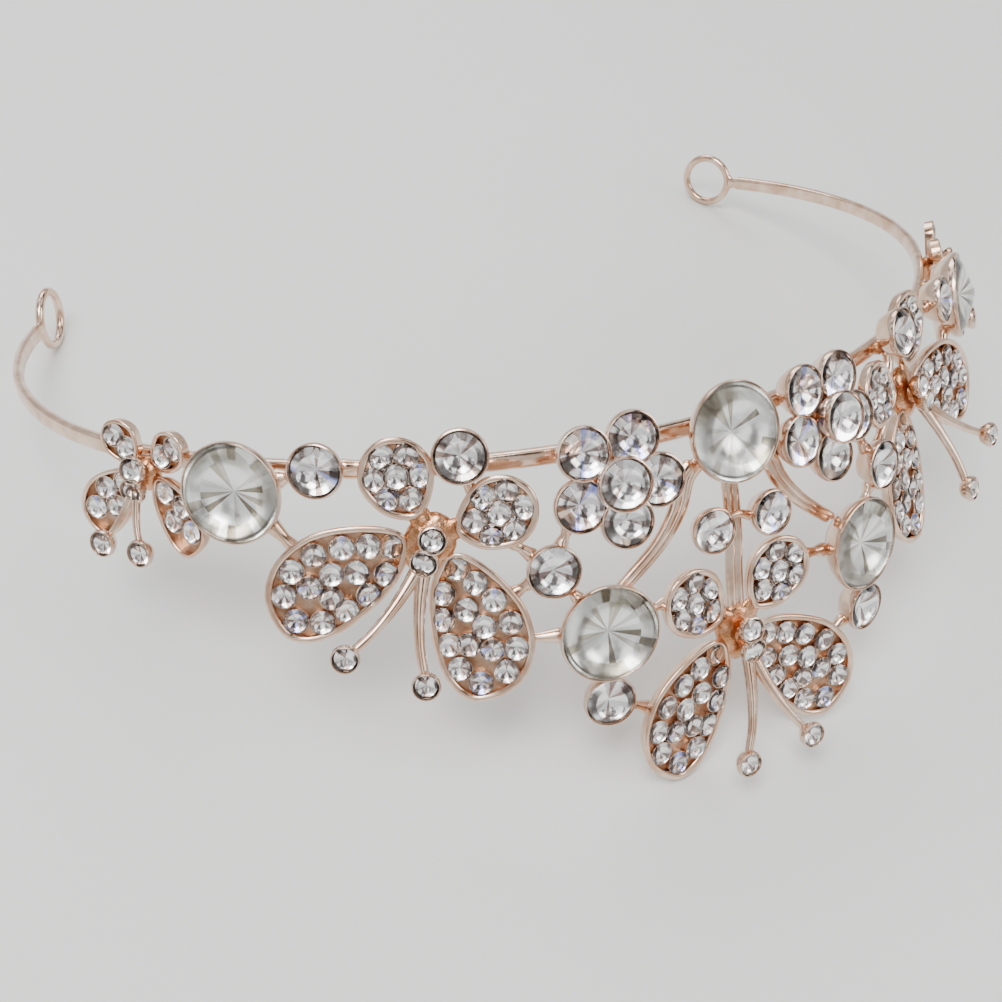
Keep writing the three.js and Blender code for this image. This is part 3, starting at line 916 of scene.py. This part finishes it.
@dataclass
class Headband:
    """The springy strip and the hair loops at its ends."""

    height: float = 2.2
    thickness: float = 1.4
    loop_radius: float = 4.1
    loop_width: float = 1.3
    neck: float = 1.0
    gap: float = 0.3
    steps: int = 120
    squareness: float = 0.55
    neck_sections: tuple[tuple[float, float, float], ...] = (
        (-0.3, 0.62, 1.05), (0.0, 0.6, 1.02), (0.5, 0.55, 0.95), (0.9, 0.55, 1.1), (1.35, 0.5, 1.6))

    def strip(self) -> bpy.types.Object:
        """The strip: an oblong section with soft corners, bent edgeways.

        Returns:
            The finished strip.
        """
        frames = []
        for i in range(self.steps + 1):
            s = PANEL.half_length * (2 * i / self.steps - 1)
            point, _ = PANEL.band(s)
            axes = Matrix((PANEL.outward(s), Vector((0, 0, 1)), PANEL.along(s))).transposed().to_4x4()
            axes.translation = point
            frames.append(axes)
        blank = Blank([POLISHED.material()])
        half = (self.thickness / 2, self.height / 2)
        start = bmesh.ops.create_circle(blank.mesh, segments=16, radius=1.0)["verts"]
        for vertex in start:
            for axis in (0, 1):
                reach = abs(vertex.co[axis]) ** self.squareness * half[axis]
                vertex.co[axis] = math.copysign(reach, vertex.co[axis])
        bmesh.ops.transform(blank.mesh, matrix=frames[0], verts=start)
        draw_through(blank, frames)
        return assemble("headband_strip", [blank], Slot.ROSE_GOLD, "headband")

    def loop(self, side: str, sign: int) -> bpy.types.Object:
        """A ring in line with the strip, with a neck that flares into it.

        Args:
            side: Name of the side.
            sign: Minus one on the left, one on the right.

        Returns:
            The finished loop.
        """
        point, _ = PANEL.band(sign * PANEL.half_length)
        along = PANEL.along(sign * PANEL.half_length) * sign
        out = PANEL.outward(sign * PANEL.half_length)
        start = point + along * self.gap
        outer = self.loop_radius + self.loop_width / 2
        axes = Matrix((along, out.cross(along), out)).transposed().to_4x4()
        axes.translation = start + along * (self.neck + outer)
        ring = Blank([POLISHED.material()])
        half = self.loop_width / 2
        tube = bmesh.ops.create_circle(ring.mesh, segments=12, radius=half,
                                       matrix=Matrix.Translation((self.loop_radius, 0, 0))
                                       @ Matrix.Rotation(math.radians(90), 4, "X"))["verts"]
        bmesh.ops.spin(ring.mesh, geom=list(ring.mesh.verts) + list(ring.mesh.edges), cent=(0, 0, 0),
                       axis=(0, 0, 1), angle=2 * math.pi, steps=48, use_merge=True)
        bmesh.ops.remove_doubles(ring.mesh, verts=ring.mesh.verts, dist=0.001)
        ring.face_out().carry(axes)
        frames = []
        for ahead, deep, wide in self.neck_sections:
            ring_frame = Matrix((out * deep, Vector((0, 0, 1)) * wide, along)).transposed().to_4x4()
            ring_frame.translation = start + along * ahead
            frames.append(ring_frame)
        neck = loft(frames, [POLISHED], 16)
        return assemble(f"{side}_hair_loop", [ring, neck], Slot.ROSE_GOLD, f"{side}_end_loop")

    def build(self) -> None:
        """Makes the strip and both loops."""
        self.strip()
        for side, sign in SIDES:
            self.loop(side, sign)


# ---- Castings ------------------------------------------------------------------------------

KNOT_LIFT = 1.2


@dataclass
class CentreCasting:
    """The top stone's setting, the stem, the vines and the two drops."""

    wire_lift: float = 2.3
    strand_gap: float = 0.5
    stem: tuple[Place, ...] = ((0, 5.2), (0, 9), (-0.2, 14), (-0.6, 19), (-0.7, 23.8))
    yoke: tuple[Place, ...] = ((-2.2, 12.5), (0, 11.6), (2.2, 12.5))
    vine: tuple[Place, ...] = ((4.4, 4.2), (5.9, 5.8), (7.2, 9.2), (10.0, 13.0), (14.6, 17.2))

    def build(self) -> None:
        """Makes the casting and its stones."""
        top = PANEL.frame(*TOP_RIVOLI, TOP_RIVOLI_LIFT)
        shapes = [RIVOLI.cup(top, 48)]
        for offset in (-self.strand_gap, self.strand_gap):
            stem = [(s + offset, h) for s, h in self.stem]
            shapes.append(panel_strand(stem, self.wire_lift, (0.6, 0.65, 0.7, 0.65),
                                       (0.55, 0.55, 0.5), POLISHED))
        shapes.append(panel_strand(self.yoke, self.wire_lift + 0.5,
                                   (0.7, 0.5, 0.7), (0.5, 0.45, 0.5), POLISHED))
        for side, sign in SIDES:
            for offset in (-self.strand_gap, self.strand_gap):
                vine = [(sign * s + offset, h) for s, h in self.vine]
                shapes.append(panel_strand(vine, self.wire_lift, (1.0, 0.9, 0.8, 0.7, 0.6, 0.55),
                                           (0.7, 0.65, 0.6, 0.5, 0.45), POLISHED))
            place = PANEL.frame(*mirrored(DROP, sign), DROP_LIFT)
            shapes.append(DROP_CUT.cup(place))
            assemble(f"{side}_drop_cut", [DROP_CUT.stone(place, 10 * sign)], Slot.CRYSTAL,
                     f"{side}_drop_stone")
        shapes.append(knot(PANEL.point(0, 0.3, KNOT_LIFT), Vector((1.8, 0.9, 1.0)), ROUGH_CAST))
        assemble("centre_setting", shapes, Slot.ROSE_GOLD, "centre_casting")
        assemble("top_rivoli_cut", [RIVOLI.stone(top, 4)], Slot.CRYSTAL, "top_rivoli")


@dataclass
class SideCastings:
    """On each side, the lower and the side stones with the chatons beside them."""

    chaton_edge: float = 2.9
    rivoli_edge: float = 5.5

    def arm(self, start: Place, end: Place, sign: int, lifts: Place = (3.6, 3.6),
            trims: Place = (0.0, 0.0), half: float = 0.7) -> Blank:
        """A short arm between two neighbours, thinner in its middle.

        Args:
            start: Where it starts on the pattern.
            end: Where it ends.
            sign: The half of the pattern.
            lifts: Its lift at both ends.
            trims: How far it stays off both ends.
            half: Half its width.

        Returns:
            The arm.
        """
        a, b = (PANEL.point(*mirrored(p, sign), lift) for p, lift in zip((start, end), lifts))
        ahead = (b - a).normalized()
        a, b = a + ahead * trims[0], b - ahead * trims[1]
        line = [a.lerp(b, t / 6) for t in range(7)]
        s = sign * (start[0] + end[0]) / 2
        up = PANEL.lean(s, PANEL.flare(s))[1]
        return strand(line, [up] * len(line), (half * 1.4, half * 0.85, half * 1.4),
                      (half * 1.2, half * 0.8, half * 1.2), POLISHED)

    def build(self) -> None:
        """Makes the four castings and their stones."""
        big, small = self.rivoli_edge, self.chaton_edge
        third, fourth = CHATONS[2], CHATONS[3]
        for side, sign in SIDES:
            chatons = [PANEL.frame(*mirrored(p, sign), CHATON_LIFT) for p in CHATONS]
            lower = PANEL.frame(*mirrored(LOWER_RIVOLI, sign), RIVOLI_LIFT)
            beside = PANEL.frame(*mirrored(SIDE_RIVOLI, sign), RIVOLI_LIFT)
            arms = [(LOWER_RIVOLI, third, (3.8, 3.6), (big, small)),
                    (LOWER_RIVOLI, fourth, (3.8, 3.6), (big, small)),
                    (third, (20.4, 8.0), (3.4, 3.4), (small, 0.0)),
                    (third, (27.0, 9.0), (3.4, 2.8), (small, 0.0)),
                    (third, (27.0, 15.6), (3.4, 2.8), (small, 0.0)),
                    (LOWER_RIVOLI, (27.2, 21.6), (3.8, 2.8), (big, 0.0)),
                    (LOWER_RIVOLI, (9.4, 20.2), (3.8, 2.6), (big, 0.0)),
                    (fourth, (12.6, 34.0), (3.6, 2.6), (small, 0.0))]
            shapes = [self.arm(start, end, sign, lifts, trims) for start, end, lifts, trims in arms]
            shapes += [RIVOLI.cup(lower, 48), CHATON.cup(chatons[2]), CHATON.cup(chatons[3])]
            assemble(f"{side}_lower_setting", shapes, Slot.ROSE_GOLD, f"{side}_lower_casting")
            shapes = [self.arm(SIDE_RIVOLI, (50.4, 9.6), sign, (3.8, 3.0), (big, 0.0), 0.8),
                      self.arm(SIDE_RIVOLI, CHATONS[0], sign, (3.8, 3.6), (big, small), 0.9),
                      self.arm(CHATONS[0], (41.5, -1.2), sign, (3.6, 3.0), (small, 0.0), 0.7),
                      RIVOLI.cup(beside, 48), CHATON.cup(chatons[0])]
            shapes += [knot(PANEL.point(sign * s, 0, KNOT_LIFT), Vector((1.3, 1.0, 0.9)), ROUGH_CAST)
                       for s in (CHATONS[0][0], SIDE_RIVOLI[0])]
            assemble(f"{side}_side_setting", shapes, Slot.ROSE_GOLD, f"{side}_side_casting")
            assemble(f"{side}_lower_rivoli_cut", [RIVOLI.stone(lower, 8)], Slot.CRYSTAL,
                     f"{side}_lower_rivoli")
            assemble(f"{side}_side_rivoli_cut", [RIVOLI.stone(beside, 3)], Slot.CRYSTAL,
                     f"{side}_side_rivoli")
            for index, place in enumerate(chatons, 1):
                assemble(f"{side}_chaton_cut_{index}", [CHATON.stone(place, 17 * (index - 1))],
                         Slot.CRYSTAL, f"{side}_chaton_{index}")


@dataclass
class Flower:
    """Five petal stones round a raised one."""

    side: str
    s: float
    h: float
    turn: float
    petals: int = 5
    circle: float = 5.2
    rise: float = 2.9
    joint_circle: float = 2.6
    joint_drop: float = 1.6

    def step_out(self, index: int, radius: float, height: float) -> Matrix:
        """The step from the flower's middle towards a petal."""
        angle = 2 * math.pi * index / self.petals
        return Matrix.Translation((radius * math.cos(angle), radius * math.sin(angle), height))

    def build(self) -> None:
        """Makes the flower."""
        middle = PANEL.frame(self.s, self.h, CHATON_LIFT, -self.turn)
        depth = CHATON.cup_depth
        core = [(0.4, -depth), (2.4, -depth), (2.6, -depth + 0.8), (1.9, -1.2), (1.5, -0.4), (1.6, 0.2)]
        shapes = [turned(core, [ROUGH_CAST], 20).roughen(0.35, 0.9).carry(middle)]
        for index in range(self.petals):
            place = middle @ self.step_out(index, self.circle, 0)
            joint = middle @ self.step_out(index, self.joint_circle, -self.joint_drop)
            shapes.append(CHATON.cup(place))
            shapes.append(knot(joint.translation, Vector((0.9, 0.9, 0.9)), ROUGH_CAST))
            assemble(f"{self.side}_petal_cut_{index + 1}", [CHATON.stone(place, 23 * index)],
                     Slot.CRYSTAL, f"{self.side}_petal_stone_{index + 1}")
        centre = middle @ Matrix.Translation((0, 0, self.rise))
        shapes.append(CHATON.cup(centre))
        shapes.append(knot(PANEL.point(self.s, 0.2, KNOT_LIFT), Vector((1.4, 1.0, 0.9)), ROUGH_CAST))
        assemble(f"{self.side}_flower_cups", shapes, Slot.ROSE_GOLD, f"{self.side}_flower_setting")
        assemble(f"{self.side}_flower_centre_cut", [CHATON.stone(centre, 9)], Slot.CRYSTAL,
                 f"{self.side}_flower_centre_stone")


# ---- Butterflies ---------------------------------------------------------------------------


@dataclass(frozen=True)
class Wing:
    """One wing: its outline and the places of its stones, x from the body, y to the head."""

    outline: tuple[Place, ...]
    stones: tuple[Place, ...]
    few_stones: tuple[Place, ...]


FORE_WING = Wing(
    ((2.0, 0.9), (4.2, -0.6), (8.8, 0.5), (13.5, 3.3), (16.3, 7.9),
     (15.9, 13.0), (11.9, 16.7), (7.6, 15.4), (3.9, 10.6), (1.8, 5.2)),
    ((4.0, 1.6), (6.6, 2.5), (9.4, 3.7), (12.2, 5.6), (14.0, 8.4), (13.9, 11.6), (11.6, 14.1),
     (8.6, 13.3), (6.4, 10.9), (4.6, 8.2), (3.5, 5.1), (6.8, 6.0), (9.5, 7.2), (8.6, 10.0), (11.4, 9.6)),
    ((5.4, 3.0), (10.0, 5.2), (12.6, 10.2), (7.6, 9.0)),
)
HIND_WING = Wing(
    ((1.9, -3.0), (1.7, -6.4), (3.0, -9.8), (6.2, -11.3),
     (9.4, -10.3), (10.9, -7.3), (10.0, -3.9), (6.7, -1.8), (3.7, -1.8)),
    ((6.3, -6.5), (3.9, -4.6), (3.9, -7.6), (6.1, -9.4), (8.7, -8.2), (8.6, -5.3), (6.4, -3.6)),
    ((4.6, -5.2), (7.8, -7.6)),
)


@dataclass
class Butterfly:
    """Four stone-set trays round a rough hub, with a raised body and two antennae."""

    name: str
    s: float
    h: float
    turn: float
    root: float
    body: float
    dihedral: float
    size: float = 1.0
    cup_sign: int = 0
    depth: float = 1.4
    draft: float = 0.93
    floor: float = 0.95
    rim: float = 1.0
    least_rim: float = 0.6
    rounding: float = 0.42
    setting_rise: float = 0.7
    stone_rise: float = 0.72
    small_stone: float = 0.95
    wobble: float = math.radians(5)
    pitch: float = 1.45
    webs: tuple[tuple[float, float, float], ...] = ((3.4, 2.6, 1.7), (3.1, -3.6, 1.4))
    link: tuple[Place, ...] = ((31.3, 0.9), (31.0, 1.8), (30.4, 3.2))
    antenna: tuple[tuple[float, float, float], ...] = (
        (0.3, 2.6, -0.9), (1.3, 6.6, 0.7), (2.8, 10.5, 2.3), (4.9, 14.1, 3.6))

    def __post_init__(self) -> None:
        """Works out the butterfly's own frame."""
        self.place = PANEL.frame(self.s, self.h, 0.0, self.turn)

    def wing_place(self, sign: int) -> Matrix:
        """Frame of the wings on one side, in which z rises from the tray."""
        rise = Matrix.Rotation(-sign * math.radians(self.dihedral), 4, "Y")
        return self.place @ Matrix.Translation((0, 0, self.root)) @ rise

    def on_wing(self, sign: int, place: Place, height: float) -> Matrix:
        """Frame at a place of a wing, at a height over the tray's edge."""
        x, y = place
        return self.wing_place(sign) @ Matrix.Translation((sign * x * self.size, -y * self.size, height))

    def stone_places(self, wing: Wing) -> tuple[Place, ...]:
        """Places of a wing's stones. A small wing has fewer."""
        return wing.stones if self.size == 1 else wing.few_stones

    def tray(self, wing: Wing, sign: int) -> Blank:
        """A tray with a rolled rim and a sunken floor.

        Args:
            wing: The wing.
            sign: Minus one on the left, one on the right.

        Returns:
            The tray.
        """
        blank = Blank([POLISHED.material(), TRAY_FLOOR.material()])
        corners = [Vector((sign * x * self.size, -y * self.size, 0)) for x, y in wing.outline]
        line = curve(corners, 5, closed=True)
        face = blank.mesh.faces.new([blank.mesh.verts.new(point) for point in line])
        face.normal_update()
        if face.normal.z < 0:
            bmesh.ops.reverse_faces(blank.mesh, faces=[face])
        rim = max(self.rim * self.size, self.least_rim)
        sides = bmesh.ops.extrude_face_region(blank.mesh, geom=[face])["geom"]
        top = next(part for part in sides if isinstance(part, bmesh.types.BMFace))
        low = [v for v in blank.mesh.verts if v not in set(top.verts)]
        bmesh.ops.translate(blank.mesh, verts=low, vec=(0, 0, -self.depth))
        middle = sum((v.co for v in low), Vector()) / len(low)
        bmesh.ops.scale(blank.mesh, verts=low, vec=(self.draft, self.draft, 1),
                        space=Matrix.Translation(-middle))
        edge = list(top.edges)
        bmesh.ops.inset_region(blank.mesh, faces=[top], thickness=rim, use_even_offset=True)
        inner = list(top.edges)
        sunk = bmesh.ops.extrude_face_region(blank.mesh, geom=[top])["geom"]
        floor = next(part for part in sunk if isinstance(part, bmesh.types.BMFace))
        bmesh.ops.delete(blank.mesh, geom=[top], context="FACES_ONLY")
        bmesh.ops.translate(blank.mesh, verts=list(floor.verts), vec=(0, 0, -self.floor))
        # The sunken floor takes the darker floor finish: painted shade between the stones.
        floor.material_index = 1
        blank.mesh.normal_update()
        sharp = [e for e in edge + inner if e.is_valid]
        bmesh.ops.bevel(blank.mesh, geom=sharp, offset=rim * self.rounding, affect="EDGES",
                        segments=4, profile=0.5, material=-1, clamp_overlap=True)
        bmesh.ops.triangulate(blank.mesh, faces=[f for f in blank.mesh.faces if len(f.verts) > 4])
        return blank.face_out().carry(self.wing_place(sign))

    def seeds(self, wing: Wing, sign: int) -> list[Blank]:
        """The small stones of one wing, each a little out of true.

        Args:
            wing: The wing.
            sign: Minus one on the left, one on the right.

        Returns:
            The stones.
        """
        stones = []
        scale = Matrix.Scale(1.0 if self.size == 1 else self.small_stone, 4)
        for index, (x, y) in enumerate(self.stone_places(wing)):
            tip = Matrix.Rotation(self.wobble * math.sin(7.0 * x + 3.0 * y), 4, "X")
            lean = Matrix.Rotation(self.wobble * math.cos(5.0 * x - 4.0 * y), 4, "Y")
            place = self.on_wing(sign, (x, y), self.stone_rise - self.floor)
            stones.append(SEED.stone(place @ tip @ lean @ scale, 31 * index))
        return stones

    def claws(self, wing: Wing, sign: int) -> list[Blank]:
        """A shallow setting under each small stone.

        Args:
            wing: The wing.
            sign: Minus one on the left, one on the right.

        Returns:
            The settings.
        """
        out = SEED.radius
        profile = [(0.4, -0.9), (out + 0.02, -0.75), (out + 0.06, -0.1), (out + 0.02, 0.02),
                   (out - 0.06, 0.02), (out - 0.02, -0.15), (0.4, -0.85)]
        height = self.setting_rise - self.floor
        return [turned(profile, [BEZEL], 16).carry(self.on_wing(sign, place, height))
                for place in self.stone_places(wing)]

    def hub(self) -> list[Blank]:
        """The rough metal between the wing roots, and the webs that run into each wing.

        Returns:
            The pieces of the hub.
        """
        size, root = self.size, self.root
        # The hub's deep copper is partly the cast metal's own colour and partly painted shade of the low
        # middle between the wings.
        core = Blank([ROUGH_CAST.material()])
        bmesh.ops.create_icosphere(core.mesh, subdivisions=4, radius=1.0)
        core.carry(Matrix.Translation((0, 0, root - 0.8))
                   @ Matrix.Diagonal((3.1 * size, 4.0 * size, 1.5, 1)))
        shapes = [core.roughen(0.2, 0.8).face_out().carry(self.place)]
        up = self.place.to_3x3() @ Vector((0, 0, 1))
        for sign in (-1, 1):
            for x, y, wide in self.webs:
                start = self.place @ Vector((0, -y * 0.25 * size, root - 0.2))
                end = self.on_wing(sign, (x, y), -self.depth * 0.55).translation
                line = [start.lerp(end, t / 8) for t in range(9)]
                web = strand(line, [up] * len(line), (1.5 * size, wide * size, wide * 0.8 * size),
                             (0.7 * size, 0.6 * size, 0.35 * size), ROUGH_CAST, 16)
                shapes.append(web.roughen(0.16, 1.2).face_out())
        return shapes

    def body_shapes(self) -> tuple[list[Blank], list[Blank]]:
        """The body's metal and its stones.

        Returns:
            The metal, and the stones.
        """
        size, base = self.size, self.root
        pitch = self.pitch * max(size, 0.9)
        metal, stones = [], []
        post = turned([(1.5 * size, base), (1.15 * size, base + 1.2), (1.1 * size, self.body - 1.4),
                       (1.7 * size, self.body - 0.9)], [ROUGH_CAST], 18)
        metal.append(post.roughen(0.25, 1.2).face_out().carry(self.place))
        for end in (-1, 1):
            spot = self.place @ Matrix.Translation((0, end * pitch, self.body)) @ Matrix.Rotation(
                math.radians(-7 * end), 4, "X")
            metal.append(ACCENT.cup(spot, 20))
            stones.append(ACCENT.stone(spot, 11))
        up = self.place.to_3x3() @ Vector((0, 0, 1))
        slim = max(size, 0.75)
        widths, depths = (0.95, 0.75, 0.6, 0.55), (0.7, 0.6, 0.55)
        for sign in (-1, 1):
            points = [Vector((sign * x * size, -y * size, self.body + z * size))
                      for x, y, z in self.antenna]
            line = curve([self.place @ p for p in points], 6)[:-2]
            metal.append(strand(line, [up] * len(line), [slim * w for w in widths],
                                [slim * d for d in depths], POLISHED, 12))
            tip = self.place @ Matrix.Translation(points[-1] + Vector((0, 0, 0.5)))
            metal.append(ACCENT.cup(tip, 20))
            stones.append(ACCENT.stone(tip, 5))
        return metal, stones

    def build(self) -> None:
        """Makes the butterfly."""
        pairs = (("hind", HIND_WING), ("fore", FORE_WING))
        wings = [(label, wing, side, sign) for label, wing in pairs for side, sign in SIDES]
        metal, seeds = self.hub(), []
        for label, wing, side, sign in wings:
            metal.append(self.tray(wing, sign))
            metal += self.claws(wing, sign)
            stones = self.seeds(wing, sign)
            if self.size == 1:
                assemble(f"{self.name}_butterfly_{side}_{label}_stones", stones, Slot.PAVE,
                         f"{self.name}_butterfly_{side}_{label}_pave")
            else:
                seeds += stones
        if self.cup_sign:
            spot = mirrored(CHATONS[1], self.cup_sign)
            metal.append(CHATON.cup(PANEL.frame(*spot, CHATON_LIFT)))
            metal.append(panel_strand([mirrored(p, self.cup_sign) for p in self.link], 2.6,
                                      (0.8, 0.7, 0.9), (0.8, 0.7, 0.7), POLISHED))
            metal.append(knot(PANEL.point(spot[0], 0, KNOT_LIFT), Vector((1.3, 1.0, 0.9)), ROUGH_CAST))
        assemble(f"{self.name}_butterfly_trays", metal, Slot.WING_METAL, f"{self.name}_butterfly_wings")
        body, accents = self.body_shapes()
        assemble(f"{self.name}_butterfly_boss", body, Slot.ROSE_GOLD, f"{self.name}_butterfly_body")
        assemble(f"{self.name}_butterfly_accents", accents + seeds, Slot.PAVE)


# ---- Studio --------------------------------------------------------------------------------


@dataclass
class Studio:
    """A pale table, soft lights and the camera."""

    eye: tuple[float, float, float] = (-0.09069, -0.116835, 0.149399)
    heading: float = -34.7803
    dip: float = 43.1630
    roll: float = 10.1785
    lens: float = 49.64
    sensor: float = 36.0
    aim: tuple[float, float, float] = (0.0, -0.01, 0.02)
    wall_tone: Colour = tint(1.3, 1.3, 1.3)
    wall_top: tuple[float, float] = (0.32, 0.42)
    ceiling_edge: tuple[float, float] = (0.46, 0.55)
    ceiling_tones: tuple[Colour, Colour] = (tint(0.15, 0.13, 0.12), tint(3.0, 3.0, 3.0))
    room_strength: float = 0.58

    def camera(self) -> None:
        """The camera, above the tiara's left side."""
        data = bpy.data.cameras.new("camera")
        data.lens, data.sensor_width = self.lens, self.sensor
        data.clip_start = 0.005
        holder = bpy.data.objects.new("camera", data)
        turn = (Matrix.Rotation(math.radians(self.heading), 4, "Z")
                @ Matrix.Rotation(math.radians(self.dip), 4, "X")
                @ Matrix.Rotation(math.radians(self.roll), 4, "Z"))
        holder.matrix_world = Matrix.Translation(self.eye) @ turn
        bpy.context.scene.collection.objects.link(holder)
        bpy.context.scene.camera = holder

    def table(self) -> None:
        """The table: a matt pale sheet."""
        mesh = bpy.data.meshes.new("table_top")
        sheet = bmesh.new()
        bmesh.ops.create_grid(sheet, x_segments=1, y_segments=1, size=3.0)
        bmesh.ops.translate(sheet, verts=sheet.verts, vec=(0, 0, -0.00002))
        sheet.to_mesh(mesh)
        sheet.free()
        material, shader = new_material("matt_table")
        set_inputs(shader, roughness=0.55)
        tone = place_group(material, NodeGroups.tone(), light=tint(0.80, 0.81, 0.80),
                           deep=tint(0.77, 0.775, 0.76), scale=6.0, balance=0.38)
        link_up(material.node_tree, (tone, "Color", shader, "Base Color"))
        mesh.materials.append(material)
        top = bpy.data.objects.new("table_top", mesh)
        bpy.context.scene.collection.objects.link(top)

    def lamp(self, name: str, place: tuple[float, float, float], size: float, power: float,
             colour: tuple[float, float, float] = (1, 1, 1)) -> None:
        """A square soft light that faces the tiara.

        Args:
            name: Name of the lamp.
            place: Where it hangs.
            size: Length of its side.
            power: Its strength.
            colour: Colour of its light.
        """
        data = bpy.data.lights.new(name, "AREA")
        data.shape, data.size, data.energy, data.color = "SQUARE", size, power, colour
        holder = bpy.data.objects.new(name, data)
        aim = (Vector(self.aim) - Vector(place)).to_track_quat("-Z", "Y")
        holder.matrix_world = Matrix.Translation(place) @ aim.to_matrix().to_4x4()
        bpy.context.scene.collection.objects.link(holder)

    def room(self) -> None:
        """The room's light: a plain wall, and a ceiling with darker stretches for the facets."""
        world = bpy.data.worlds.new("room")
        world.use_nodes = True
        tree = world.node_tree
        background = tree.nodes["Background"]
        set_inputs(background, strength=self.room_strength)
        place = add_node(tree, "TexCoord")
        cloud = add_node(tree, "TexNoise", scale=3.2, detail=1.0)
        ramp = add_node(tree, "ValToRGB")
        for stop, position, tone in zip(ramp.color_ramp.elements, self.ceiling_edge, self.ceiling_tones):
            stop.position, stop.color = position, tone
        height = add_node(tree, "SeparateXYZ")
        above = add_node(tree, "MapRange", from_min=self.wall_top[0], from_max=self.wall_top[1])
        mix = add_mix(tree)
        mix.inputs["A"].default_value = self.wall_tone
        link_up(tree, (place, "Generated", cloud, "Vector"), (cloud, "Fac", ramp, "Fac"),
                (place, "Generated", height, "Vector"), (height, "Z", above, "Value"),
                (above, "Result", mix, "Factor"), (ramp, "Color", mix, "B"),
                (mix, "Result", background, "Color"))
        bpy.context.scene.world = world

    def build(self) -> None:
        """Sets the studio up."""
        self.camera()
        self.table()
        self.lamp("key_light", (-0.25, -0.1, 0.6), 0.3, 3.0)
        self.lamp("fill_light", (0.5, -0.4, 0.5), 0.4, 2.0, (1.0, 0.97, 0.94))
        self.lamp("back_light", (0.1, 0.6, 0.5), 0.4, 2.0, (0.94, 0.97, 1.0))
        self.room()


def main() -> None:
    """Makes the studio and every piece of the tiara, in order."""
    logging.basicConfig(level=logging.INFO, format="%(name)s %(message)s")
    Studio().build()
    Headband().build()
    CentreCasting().build()
    SideCastings().build()
    for flower in (Flower("left", -14.9, 3.3, 10), Flower("right", 13.6, 3.1, 17)):
        flower.build()
    for butterfly in (
        Butterfly("centre", -0.7, 26.6, 3, 3.0, 5.6, 5),
        Butterfly("left", -35.8, 8.5, -23.5, 3.2, 5.6, 3, cup_sign=-1),
        Butterfly("right", 34, 7.2, 27, 3.2, 5.6, 3, cup_sign=1),
        Butterfly("left_end", -69.8, 1.7, -4, 2.6, 5.0, 6, 0.56),
        Butterfly("right_end", 69.8, 1.7, 4, 2.6, 5.0, 6, 0.56),
    ):
        butterfly.build()


if __name__ == "__main__":
    main()
